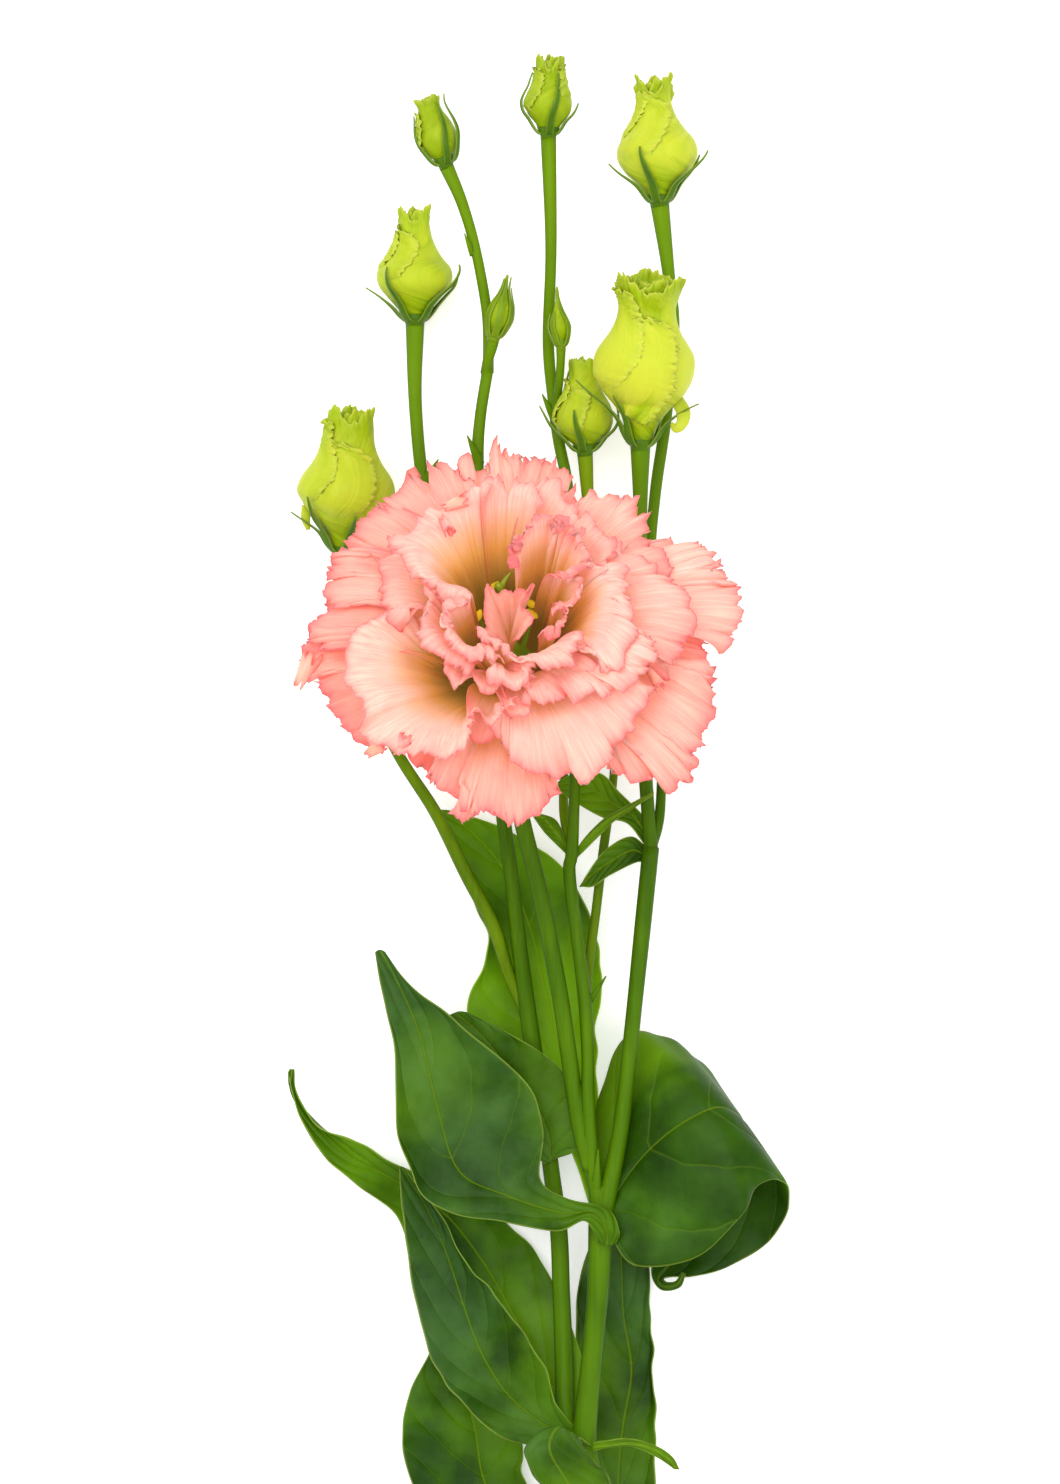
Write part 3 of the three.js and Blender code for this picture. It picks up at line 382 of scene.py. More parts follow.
def together(shapes):
    """Several shapes as one, each with points, faces and the same marks."""
    points, faces, marks = [], [], {}
    for shape_points, shape_faces, shape_marks in shapes:
        start = sum(map(len, points))
        points.append(shape_points)
        faces += [[start + corner for corner in face] for face in shape_faces]
        for mark, values in shape_marks.items():
            marks.setdefault(mark, []).append(np.asarray(values, float).ravel())
    return np.concatenate(points), faces, {mark: np.concatenate(rows) for mark, rows in marks.items()}


flat_grid = np.stack(np.meshgrid(range(3), range(4), [0], indexing="ij"), axis=-1)[:, :, 0]
print("a sheet of 3 x 4 points has", len(sheet(flat_grid.astype(float), 0.1, {})[1]), "faces")

# %% Smooth curves and seeded wobble
def through(points, shares):
    """The smooth curve through evenly spaced points, at shares of its length."""
    p = np.asarray(points, float)
    p = np.vstack([2 * p[0] - p[1], p, 2 * p[-1] - p[-2]])
    x = np.clip(shares, 0, 1) * (len(p) - 3)
    k = np.minimum(x.astype(int), len(p) - 4)
    f = (x - k)[..., None]
    a, b, c, d = p[k], p[k + 1], p[k + 2], p[k + 3]
    steady = 2 * b + (c - a) * f
    return 0.5 * (steady + (2 * a - 5 * b + 4 * c - d) * f**2 + (3 * b - 3 * c + d - a) * f**3)


WAVE_STRETCHES = (1.0, 1.37, 0.73, 0.52)  # four waves of these lengths never line up for long
WAVE_REACH = 2.4  # and their sum seldom goes further


def wobble(distance, wavelength, seed):
    """An uneven wave between about -1 and 1 along a distance, the same for the same seed."""
    chance = np.random.default_rng(seed)
    total = 0
    for stretch in WAVE_STRETCHES:
        turns = distance / (wavelength * stretch)
        total = total + np.sin(2 * np.pi * (turns + chance.random()))
    return total / WAVE_REACH


print("wobble at 0, 1 and 2 mm:", wobble(np.arange(3.0), 2.5, 1).round(2))

# %% [markdown]
# ## The stem
#
# One stem forks again and again, and each fork ends in a bud.  A curve object with a bevel would give
# each branch, but its forks would stay loose tubes pushed into each other.  Here each branch is a
# closed tube along its own row of points, each with a radius, and one Boolean union grows them
# together.  Narrow scale leaves stand at the forks, and they are joined in the same way.  Three thin
# young branches are paler than the rest, so they are a piece of their own.

# %% Where the branches run
# Each row is one place on a branch: x, y, z and radius, in mm.
BRANCHES = {
    "main": [
        (15.5, -201, 10, 2.6), (14, -170.5, 11, 2.6), (12, -144, 12, 2.4), (10.5, -132.5, 12, 2.3),
        (12, -115.5, 13, 2), (13, -104, 13.5, 2.1), (13.5, -92, 14, 2.4),
    ],
    "left": [
        (10, -137, 11.5, 1.7), (7, -130, 10, 1.8), (6.5, -117.5, 8.5, 1.8), (6, -106, 8.5, 1.7),
        (5.5, -93.5, 8.5, 1.7), (4, -81.5, 8.5, 1.6), (2.5, -70, 8.5, 1.7), (0.5, -58, 8.5, 1.7),
        (-2, -39.5, 10.5, 1.5), (-3.5, -26, 12, 1.4), (-5, -15, 13, 1.4), (-6.5, -2.5, 12.5, 1.3),
        (-8, 19.5, 12, 1.2), (-9.5, 38.5, 11, 1.2), (-10, 53.5, 10.5, 1.2), (-9.5, 62, 10, 1.1),
        (-8, 71.5, 10, 1.1),
    ],
    "to_bud_top_left": [
        (-8, 70.5, 10, 1.1), (-8, 77.5, 10, 1), (-8.5, 84, 10, 1), (-10.5, 94.5, 10, 1),
        (-13, 103, 10, 1.1), (-16, 110, 10, 1.4),
    ],
    "to_closed_bud_left": [
        (-8.5, 70.5, 10, 1), (-8, 73, 12.2, 1), (-7.4, 75, 13.2, 1.1), (-7, 76.8, 13.5, 1.2),
    ],
    "to_bud_left": [
        (-6, -3.5, 12.5, 1.2), (-11.5, 15.5, 10, 1.2), (-17, 34.5, 8, 1.2), (-19.5, 44, 7.5, 1.2),
        (-21, 53.5, 7.5, 1.2), (-22, 66.5, 7, 1.3), (-22, 80, 6.8, 1.8),
    ],
    "to_bud_low_left": [
        (1, -62, 8.5, 1.2), (-1, -52, 8.5, 1.1), (-4, -44.5, 9.5, 1.2), (-7, -35, 11, 1.3),
        (-12, -25.5, 12, 1.3), (-18, -13.5, 13, 1.2), (-25, -2.5, 14, 1.1), (-31, 10, 14, 1.2),
        (-34, 23, 14, 1.3), (-35.5, 35.5, 14, 1.7),
    ],
    "to_flower": [
        (11.5, -81.5, 15, 1.5), (9.5, -73.5, 15.5, 1.6), (8, -64, 16.5, 1.6), (6, -50, 18, 1.6),
        (3.5, -36.5, 19, 1.6), (1.5, -27, 19.5, 1.6), (-1.5, -15, 20, 1.6), (-3.5, -4.5, 17.5, 1.6),
        (-4, 3.5, 17.5, 1.7), (-4, 8.5, 18.8, 1.9), (-3.7, 11.2, 21.2, 2.1), (-3.5, 12.1, 24.3, 2.4),
    ],
    "to_bud_top_middle": [
        (13.5, -92, 14, 1.8), (12.5, -86, 15, 1.4), (11.5, -75.5, 16, 1.3), (11, -67, 17, 1.3),
        (11, -60.5, 17, 1.2), (10.5, -50, 17, 1.3), (9, -37.5, 17, 1.2), (7.5, -25, 17.5, 1.2),
        (8, -20.5, 18.5, 1.2), (8.5, -6.5, 19, 1), (8.5, 8, 17, 1), (8, 27, 13, 1), (7.5, 42, 10, 1.1),
        (7, 50, 8.5, 1.1), (5.5, 57.5, 7.2, 1.1), (4.5, 65, 7, 1.1), (3.5, 76.5, 9, 1.1),
        (4, 94.5, 12, 1.1), (3.5, 115.5, 12, 1.5),
    ],
    "to_closed_bud_right": [
        (4.8, 62, 7, 0.8), (5.2, 66, 9.5, 0.8), (5.6, 69, 12.8, 0.8), (5.85, 72.5, 14.7, 0.8),
        (5.9, 75, 14.9, 0.9),
    ],
    "side_shoot": [
        (8, -21.5, 17.5, 0.8), (6.5, -14, 15, 0.9), (6.5, -6.5, 13, 0.8), (7, 1.5, 12.5, 0.5),
    ],
    "to_bud_small_front": [
        (11, -51.5, 16, 0.9), (11, -44.5, 14, 0.9), (12.5, -33, 12, 0.9), (14, -20.5, 12, 0.9),
        (16, -5.5, 11.5, 0.8), (15.5, 8, 11.5, 0.8), (14, 27, 11.5, 0.9), (11.5, 42, 11, 1),
        (10.5, 55, 10.8, 1.5),
    ],
    "right": [
        (13.5, -91, 14, 2), (15.5, -83, 15, 1.7), (17.5, -72, 16, 1.55), (19, -58.5, 17, 1.5),
        (20, -49, 17.5, 1.5), (21.5, -34.5, 18, 1.6), (23, -20, 18, 1.6),
    ],
    "to_bud_large": [
        (23, -20.5, 18, 1.4), (22.5, -14, 18.5, 1.3), (22, -7, 18.5, 1.3), (21.5, 4, 17, 1.2),
        (21.5, 19.5, 16, 1.2), (21, 34.5, 16, 1.3), (21, 46, 16.3, 1.4), (21, 56, 17.2, 1.9),
    ],
    "to_bud_top_right": [
        (23, -20.5, 17.5, 1), (24.5, -15, 17, 1), (25, -8, 16, 0.9), (25, 2.5, 13.5, 0.9),
        (24, 19.5, 10, 1), (23, 34.5, 8.5, 1), (24, 48, 8, 1.1), (26, 62, 8, 1.1),
        (27.5, 78.5, 7.8, 1.1), (26.5, 89.5, 7.6, 1.2), (24.8, 102.8, 7.5, 1.8),
    ],
}

SCALE_LEAVES = [
    # foot, tip, half width at the foot
    ((-20.5, 49, 7.5), (-17.5, 54, 9.5), 0.9),
    ((-9.5, 53, 11), (-12, 58.5, 12.5), 1),
    ((-11, 93, 10.5), (-12.5, 97, 12.5), 0.6),
    ((4.8, 61.5, 7.5), (2.3, 66.5, 9), 0.9),
    ((5.2, 58.5, 6.4), (7.4, 71, 5.4), 0.8),
    ((11, -50, 16), (14.5, -44.5, 17), 0.7),
    ((12.5, -89, 14.3), (13, -77.5, 17.5), 1.2),
]
print("branches:", len(BRANCHES), "scale leaves:", len(SCALE_LEAVES))

# %% A tube along a line
STEM_SIDES = 18
STEM_STEP = 1.6  # mm of stem between two rings
ASKEW = [0.3, 0.1, 1.0]  # a direction that no branch starts in


def side_vectors(along):
    """A direction across each step of a line, turning as little as it can."""
    side = unit(np.cross(along[0], ASKEW))
    sides = []
    for direction in along:
        side = unit(side - direction * np.dot(side, direction))
        sides.append(side)
    return np.array(sides)


def tube(rows, sides=STEM_SIDES, step=STEM_STEP, flat=1.0):
    """Points and faces of a closed tube along rows of x, y, z and radius."""
    rows = np.asarray(rows, float)
    length = np.linalg.norm(np.diff(rows[:, :3], axis=0), axis=1).sum()
    count = max(6, round(length / step))
    line = through(rows, np.linspace(0, 1, count + 1))
    centre, radius = line[:, :3], line[:, 3]
    along = unit(np.gradient(centre, axis=0))
    side = side_vectors(along)
    other = np.cross(along, side) * flat
    turn = np.linspace(0, 2 * np.pi, sides, endpoint=False)[:, None]
    ring = np.cos(turn) * side[:, None] + np.sin(turn) * other[:, None]
    points = (centre[:, None] + radius[:, None, None] * ring).reshape(-1, 3)
    faces = []
    for first in range(0, count * sides, sides):
        for k in range(sides):
            after = (k + 1) % sides
            faces.append((first + k, first + after, first + sides + after, first + sides + k))
    faces.append(tuple(range(sides))[::-1])
    faces.append(tuple(range(count * sides, (count + 1) * sides)))
    return points, faces


print("faces of a 20 mm tube:", len(tube([(0, 0, 0, 1), (0, 20, 0, 1)])[1]))

# %% One body from many tubes
def grown_together(name, shapes):
    """Closed shapes, each points and faces, joined by one Boolean union."""
    parts = [mesh_object(f"{name}_{k}", *shape) for k, shape in enumerate(shapes)]
    rest = bpy.data.collections.new(f"{name}_parts")
    for part in parts[1:]:
        rest.objects.link(part)
    union = parts[0].modifiers.new("union", "BOOLEAN")
    union.operation = "UNION"
    union.operand_type = "COLLECTION"
    union.collection = rest
    union.solver = "MANIFOLD"
    seen = parts[0].evaluated_get(bpy.context.evaluated_depsgraph_get())
    mesh = bpy.data.meshes.new_from_object(seen)
    for part in parts:
        bpy.data.objects.remove(part)
    bpy.data.collections.remove(rest)
    mesh.name = name
    mesh.shade_smooth()
    return new_object(name, mesh)


def scale_leaf(foot, tip, half_width):
    """A narrow pointed leaf that stands on the stem."""
    foot, tip = np.array(foot, float), np.array(tip, float)
    middle = mix(foot, tip, 0.45) + [0, 0, 0.5]
    rows = [(*foot, half_width), (*middle, half_width * 0.75), (*tip, 0.12)]
    return tube(rows, sides=10, step=0.7, flat=0.55)


YOUNG = ["to_bud_low_left", "to_bud_small_front", "side_shoot"]  # paler than the rest
branches = [tube(rows) for name, rows in BRANCHES.items() if name not in YOUNG]
stem = grown_together("stem_branches", branches + [scale_leaf(*row) for row in SCALE_LEAVES])
young_stems = mesh_object("stem_young", *together([(*tube(BRANCHES[name]), {}) for name in YOUNG]))
print("stem:", len(stem.data.polygons), "faces")

# %% [markdown]
# ## The skin of the stem
#
# A living stem is smooth, mid green and a little waxy, with fine pale lines along it.  The lines are
# noise that is squeezed across the stem and stretched along it, so the noise is read at a place whose
# length runs slowly.  The same noise lifts the skin a little.  Painted shade darkens the stem's flanks,
# where its skin faces away from the sky, and the stem is paler towards the buds, where it is young.

# %% Stem finish
STEM_DARK = colour(50, 88, 0)
# the dark green of painted shade on the stem's flanks
STEM_PAINTED_SHADE = colour(34, 66, 0)
STEM_LIGHT = colour(94, 134, 0)
YOUNG_DARK = colour(66, 100, 0)
YOUNG_LIGHT = colour(124, 154, 6)
PALER_FROM, PALER_OVER = 0.04, 0.14  # metres up the spray where stems grow paler, and over how far
STEM_STRETCH = (1.0, 0.05, 1.0)  # the noise runs this slowly along the spray


def stem_finish(name, dark, light):
    finish = Finish(name)
    place = finish.place()
    stretched = {"Vector": place, "Scale": STEM_STRETCH}
    long_place = finish.add("ShaderNodeMapping", {"vector_type": "POINT"}, stretched)
    lines = finish.cloud(long_place, 900.0, 2.0)
    patches = finish.cloud(place, 60.0, 2.0)
    up = finish.add("ShaderNodeSeparateXYZ", {}, {"Vector": place}, output="Y")
    paler = ((up - PALER_FROM) / PALER_OVER).clamped()
    share = ((lines - 0.5) * 0.6 + patches - 0.1 + paler * 0.5).clamped()
    skin = finish.blend(finish.blend(dark, light, share), YOUNG_LIGHT, paler * 0.5)
    facing_way = finish.add("ShaderNodeTexCoord", {}, {}, output="Normal")
    faces_up = finish.add("ShaderNodeSeparateXYZ", {}, {"Vector": facing_way}, output="Z").size()
    # painted shade: the colour darkens where the skin faces sideways rather than up to the sky
    skin = finish.blend(skin, STEM_PAINTED_SHADE, ((0.8 - faces_up) * 1.3).clamped() * 0.6)
    finish.set(Base_Color=skin, Roughness=0.34 + lines * 0.2)
    finish.set(Subsurface_Weight=0.1, Subsurface_Scale=0.001, Specular_IOR_Level=0.08)
    finish.bump(lines, 0.0002, 0.2)
    return finish.material


stem_green = stem_finish("stem_green", STEM_DARK, STEM_LIGHT)
stem_pale = stem_finish("stem_pale", YOUNG_DARK, YOUNG_LIGHT)


def dress(piece, material, slot, *nodes):
    """Gives a piece its finish, lets it ride with the part and stand for CAD nodes."""
    piece.data.materials.clear()
    piece.data.materials.append(material)
    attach(piece, "root")
    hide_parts(*nodes)
    return piece


dress(stem, stem_green, "stem", "stem")
dress(young_stems, stem_pale, "stem", "stem")
print("stem finish:", stem_green.name)

# %% [markdown]
# ## Leaves
#
# The leaves are broad and pointed, and most twist or curl.  A flat plane that is bent with modifiers
# can't follow such twists well.  So each leaf is told by stations from foot to tip, and each station
# by three points: its left edge, its midrib and its right edge.  A smooth curve runs through each of
# the three rows, and a parabola spans them.

# %% Leaf stations
# Each row is one station: left edge, midrib and right edge.
LEAVES = {
    "leaf_left_big": [
        ((12.8, -94.8, 17.8), (14.6, -95.8, 17.2), (16.4, -95.2, 17)),
        ((11.8, -92.6, 19.4), (14.4, -92.6, 18.8), (17, -93, 18)),
        ((10, -91, 20.6), (12.2, -89.4, 20), (14.6, -88.6, 18.6)),
        ((5, -92.9, 20.4), (5.6, -89.4, 19.2), (7, -86.7, 19.2)),
        ((-5.5, -91, 22), (-5, -86, 20), (2, -83, 19)),
        ((-19, -87.5, 22), (-13.5, -81.5, 19), (2.5, -73.5, 20)),
        ((-24.5, -75.5, 21), (-17.5, -70, 18), (-1, -64.5, 21)),
        ((-26, -57.5, 20), (-21, -55.5, 18), (-14, -53, 21)),
        ((-28.5, -46, 19), (-25, -46, 18.5), (-23, -46, 19)),
        ((-29.5, -40, 18), (-28.5, -39.5, 18), (-27.5, -40, 18)),
    ],
    "leaf_left_inner": [
        ((3, -80.5, 10.9), (4, -80, 10.9), (5, -79.5, 10.9)),
        ((-2, -77.5, 12), (3.5, -74.5, 12.2), (9, -77.5, 12.5)),
        ((-7.5, -72, 12.5), (0, -67, 12.5), (10, -71, 13)),
        ((-12.5, -64, 13), (-5, -61, 13), (6, -62.5, 13.5)),
        ((-15, -57.5, 13.5), (-9.5, -55.5, 13.5), (-3, -56, 14)),
        ((-16, -52.5, 14), (-14, -51.5, 14), (-12, -51.5, 14)),
    ],
    "leaf_upper_back": [
        ((12, -90, 13), (13, -90.5, 13), (14, -90, 13)),
        ((5.5, -73.5, 7), (10, -73.5, 5), (13.5, -73.5, 7)),
        ((-7.5, -60.5, 6), (5.5, -58.5, 3.5), (12.5, -60.5, 7)),
        ((-12, -51.5, 6), (3, -48, 3.5), (13.5, -47, 8)),
        ((-8, -38.5, 8), (0, -35.5, 4), (12.5, -36.5, 8)),
        ((-12.5, -27, 8), (-5, -24.5, 5), (6.5, -24.3, 7)),
        ((-16, -18, 7), (-11.5, -17, 6), (-5, -16.6, 7)),
        ((-17.5, -13, 7), (-17, -13, 7), (-15.5, -13, 7)),
    ],
    "leaf_right_curled": [
        ((13.5, -88, 13), (14.2, -90, 13.8), (15, -93.5, 15)),
        ((12.2, -76.5, 9), (19.5, -81.5, 14), (20, -99.6, 18)),
        ((13.8, -65.5, 7), (25, -75.5, 17), (31.5, -98, 20)),
        ((17.5, -57.5, 6), (31.5, -71, 19), (39.5, -90.5, 21)),
        ((24, -55.5, 6), (36.5, -69.5, 18), (44, -84, 19)),
        ((30.5, -59.5, 5), (40.5, -72, 13), (48.5, -84, 14)),
        ((35, -65, 2.5), (41, -75.5, 6), (49.3, -89.5, 7)),
        ((33, -73.5, 1.5), (37.5, -83, 2), (45.7, -95.8, 3)),
        ((28.5, -85, 1.5), (32.5, -93, 1.5), (38.5, -100.3, 3)),
        ((24.5, -95.5, 2), (27.5, -99.5, 2.5), (30.8, -102.4, 4)),
        ((23.2, -101.5, 4), (24.6, -102.8, 4.5), (26, -102.4, 5)),
        ((25, -104.8, 6), (25.8, -104.2, 6.4), (26, -103.2, 6.6)),
        ((28.6, -104.3, 8), (28.2, -103.6, 8), (27.8, -103, 8)),
        ((29.8, -101.6, 9), (29.4, -101.4, 9), (29, -101.2, 9)),
    ],
    "leaf_left_far": [
        ((8.5, -134, 10), (9.5, -132.5, 10), (10.5, -131, 10)),
        ((-4, -125, 6), (3.5, -122, 6.5), (10, -118.5, 7)),
        ((-14, -113.5, 4.5), (-3, -110, 4), (5.5, -106, 5)),
        ((-22, -101.5, 1.5), (-9.5, -99, 0), (0, -96.5, 2)),
        ((-25.5, -91, 1.5), (-17, -90, 0), (-9.5, -88.5, 3)),
        ((-33, -85, 4), (-27.5, -83, 3), (-25, -81, 6)),
        ((-39.5, -79, 7), (-35, -79, 5), (-34, -76, 8)),
        ((-44, -71.5, 9), (-42, -72, 7.5), (-40.5, -73.5, 9)),
        ((-46, -64, 9), (-45.5, -67, 8.5), (-44.5, -67, 9)),
        ((-46, -62.5, 9), (-45.5, -62.5, 9), (-45, -62.5, 9)),
    ],
    "leaf_left_long": [
        ((7, -135, 11.5), (8.5, -133.5, 11.5), (9.5, -132, 11.5)),
        ((-5.5, -132.5, 14), (1, -129, 12), (5, -126, 14)),
        ((-14, -124.5, 15), (-5, -123.5, 12), (3, -119.5, 15)),
        ((-18.5, -118, 14), (-9.5, -116, 11.5), (-2, -111.5, 14.5)),
        ((-21.5, -108, 13.5), (-12.5, -108, 11), (-7, -105, 14)),
        ((-23.5, -96.5, 12.5), (-16, -97.5, 10.5), (-12, -99.5, 13)),
        ((-24.5, -88, 11.5), (-20, -88.5, 10.5), (-17, -90.5, 12)),
        ((-25, -81.5, 11), (-24.5, -81, 11), (-24, -81.5, 11)),
    ],
    "leaf_bottom_left": [
        ((11.5, -173, 10.5), (12, -171, 10.5), (12.5, -168.5, 10.5)),
        ((-2, -163, 5), (5.5, -160, 4), (9.5, -155.5, 5)),
        ((-17, -151.5, 3), (-5, -149, 2), (2, -146, 4)),
        ((-23, -141, 3), (-9, -141, 1.5), (-1.5, -140, 4)),
        ((-24.5, -132.5, 3), (-10.5, -132.5, 1.5), (-1.5, -132.5, 3)),
        ((-23, -124.5, 1.8), (-12.5, -125, 1.2), (-5.5, -123, 1.8)),
        ((-19.5, -117.5, 1.5), (-16, -118, 1.2), (-12.5, -117, 1.5)),
        ((-18, -113, 1.5), (-17, -113, 1.5), (-16.5, -113, 1.5)),
    ],
    "leaf_bottom_right": [
        ((15.5, -169, 10.5), (16, -171, 10.5), (16.5, -173, 10.5)),
        ((12, -155.5, 5), (17, -155.5, 4), (24, -161, 5)),
        ((8.5, -141, 2), (17, -141, -1), (24, -141, 2)),
        ((8.5, -130.5, 1.5), (18, -130.5, -1.5), (24, -129, 1.5)),
        ((9, -119.5, 1.5), (19.5, -120.5, -1.5), (23.5, -118.5, 1.5)),
        ((9, -106, 2), (18, -110, 0.8), (23, -108, 2)),
        ((11.5, -96.5, 3), (17.5, -99, 2), (22.5, -99, 2.5)),
        ((15.5, -90.5, 4), (16.5, -90, 4), (18, -90.5, 4)),
    ],
    "leaf_front_drooping": [
        ((8.5, -134, 14.5), (10, -134, 14.8), (11.5, -134, 14.5)),
        ((3, -130.5, 20), (5.5, -130.5, 21), (9.5, -132.5, 19)),
        ((-1, -134, 23), (3.5, -134, 24), (12.5, -137, 21)),
        ((0.5, -138.5, 23), (6.5, -139.5, 24), (15, -140, 21)),
        ((4, -144, 22), (10, -145.5, 23), (16.5, -145, 20)),
        ((9.5, -152.5, 20), (13.5, -153, 21), (17.5, -151.5, 19)),
        ((15.5, -159, 18), (16.5, -159, 18), (17, -158.5, 18)),
    ],
    "leaf_bottom_thin": [
        ((12, -133.5, 14.8), (12, -134.3, 15), (12, -135.2, 14.8)),
        ((14, -133, 16), (14, -134, 16.3), (14, -134.5, 16)),
        ((19, -132.5, 17), (19, -133.5, 17.3), (19, -134, 17)),
        ((24, -134, 17), (23.5, -134.5, 17.3), (23, -135.5, 17)),
        ((27, -136, 16), (26.5, -136.5, 16.3), (25.5, -137, 16)),
        ((28.5, -138.5, 15), (28, -138.5, 15), (27.5, -138.5, 15)),
    ],
    "leaf_node_upper": [
        ((21.8, -19.6, 17.6), (22.5, -19, 17.6), (23.2, -18, 17.6)),
        ((18.5, -15.5, 18), (20, -14.5, 17.5), (21.5, -14, 18)),
        ((14, -14.5, 16.7), (15.5, -11.5, 16), (16.5, -9, 16.7)),
        ((9.5, -12, 15.5), (12, -9, 15), (13.5, -6, 15.5)),
        ((7, -10.5, 15), (8, -8, 14.5), (9.5, -5.5, 15)),
        ((5, -8.5, 14.5), (5, -8, 14.5), (5.5, -7.5, 14.5)),
    ],
    "leaf_node_lower": [
        ((22, -23, 16.6), (22.6, -22, 16.6), (23.2, -21, 16.6)),
        ((20, -23, 16.6), (19.4, -20.6, 16.2), (19.4, -18, 16.6)),
        ((15, -25.5, 16.5), (15, -23, 16), (15, -20, 16.5)),
        ((12, -27.5, 16), (11.5, -25.5, 15.5), (12, -23.5, 16)),
        ((9.5, -27.5, 15.5), (9.5, -27.5, 15.5), (10, -27, 15.5)),
    ],
    "bract_left": [
        ((7, -21.5, 16.5), (7.5, -21, 16.5), (8, -20.5, 16.5)),
        ((5, -19.5, 17), (5.5, -18, 17.6), (6.5, -17.5, 17)),
        ((3, -17.5, 16.6), (4, -16, 17.4), (5, -15, 16.6)),
        ((1.5, -15.5, 16.4), (2.5, -14.5, 16.8), (3, -14, 16.4)),
        ((0.5, -14, 16.2), (0.5, -14, 16.2), (1, -13.5, 16.2)),
    ],
    "bract_right": [
        ((8, -23, 16.5), (8.5, -22.5, 16.5), (9, -22, 16.5)),
        ((10, -21, 17.5), (9.5, -20, 17.8), (10, -19, 17.5)),
        ((13.5, -17.5, 18.5), (13, -16.5, 18.9), (12.5, -16, 18.5)),
        ((16, -15, 19.6), (15.5, -14.5, 20), (15, -14, 19.6)),
        ((19, -13, 20.2), (19, -12.5, 20.4), (18.5, -12, 20.2)),
        ((23.5, -10, 21), (23.5, -9.5, 21.2), (23.5, -9.5, 21)),
    ],
}
print("leaves:", len(LEAVES))

# %% A leaf from its stations
LEAF_THICK = 0.55
LEAF_RIM = 0.22  # thickness at the margin
LEAF_GRAIN = 0.55  # mm between two points of the grid


def leaf_size(stations):
    """Length along the midrib, and widest width, in mm."""
    points = np.asarray(stations, float)
    length = np.linalg.norm(np.diff(points[:, 1], axis=0), axis=1).sum()
    halves = points[:, 1:] - points[:, :2]
    return length, np.linalg.norm(halves, axis=2).sum(axis=1).max()


def leaf_grid(stations, rows, columns):
    """Points over a leaf, with how far along it and how far across each lies."""
    along = np.linspace(0, 1, rows + 1)
    across = np.linspace(-1, 1, columns + 1)
    stations = np.asarray(stations, float)
    left, rib, right = (through(stations[:, k], along)[:, None] for k in range(3))
    u = across[None, :, None]
    grid = left * (u * u - u) / 2 + rib * (1 - u * u) + right * (u * u + u) / 2
    return grid, *np.meshgrid(along, across, indexing="ij")


def leaf(name, stations, seed):
    length, width = leaf_size(stations)
    rows, columns = (max(10, round(size / LEAF_GRAIN)) for size in (length, width))
    grid, along, across = leaf_grid(stations, rows, columns)
    half = np.linalg.norm(grid[:, -1] - grid[:, 0], axis=1)[:, None] / 2
    rib_mm = across * half
    rim_mm = (1 - np.abs(across)) * half
    # the margin waves, and the blade sinks along its veins
    wave = wobble(along * length + across, 13, seed) * across**2 * np.minimum(half * 0.04, 0.5)
    groove = 0.25 * np.exp(-((rib_mm / 0.8) ** 2)) * smooth(half / 3)
    grid = grid + facing(grid) * (wave - groove)[..., None]
    grid[..., 2] = np.maximum(grid[..., 2], LEAF_THICK / 2)
    thick = mix(LEAF_RIM, LEAF_THICK, smooth(rim_mm / 1.5))
    marks = {"along": along, "across": across, "rib_mm": rib_mm, "rim_mm": rim_mm}
    return mesh_object(f"{name}_blade", *sheet(grid, thick, marks))


leaves = {name: leaf(name, rows, 40 + k) for k, (name, rows) in enumerate(LEAVES.items())}
print("faces of all leaves:", sum(len(made.data.polygons) for made in leaves.values()))

# %% [markdown]
# ## The leaf's green
#
# Leaves of this plant look dark and a little blue, from a thin bloom of wax, with a pale midrib, faint
# side veins that arch to the tip and a bright rim of painted light where light would come through the
# thin edge.  Painted sheen lies in patches with the wax, and painted light brightens parts of some
# leaves.  A picture of a leaf could be wrapped round each blade, but it would stretch.  The grid told
# each point how far it lies from rib and rim, so veins and rim are sums on those numbers, sharp at any
# size.  Four shares tell the leaves apart: how much painted light, how much wax and painted sheen, how
# much painted light on one lobe, and how strong a painted glow stands for light that comes through.

# %% Leaf finish
LEAF_DEEP = colour(26, 58, 0)
LEAF_MID = colour(54, 96, 0)
# painted light: the yellow-green of a leaf lit through
LEAF_GLOW = colour(100, 144, 4)
# a bluish wax bloom, with painted sheen on it
LEAF_WAX_AND_SHEEN = colour(80, 108, 84)
LEAF_RIB = colour(112, 144, 24)
# painted light on the thin rim, where light would come through
LEAF_RIM_LIGHT = colour(136, 164, 60)


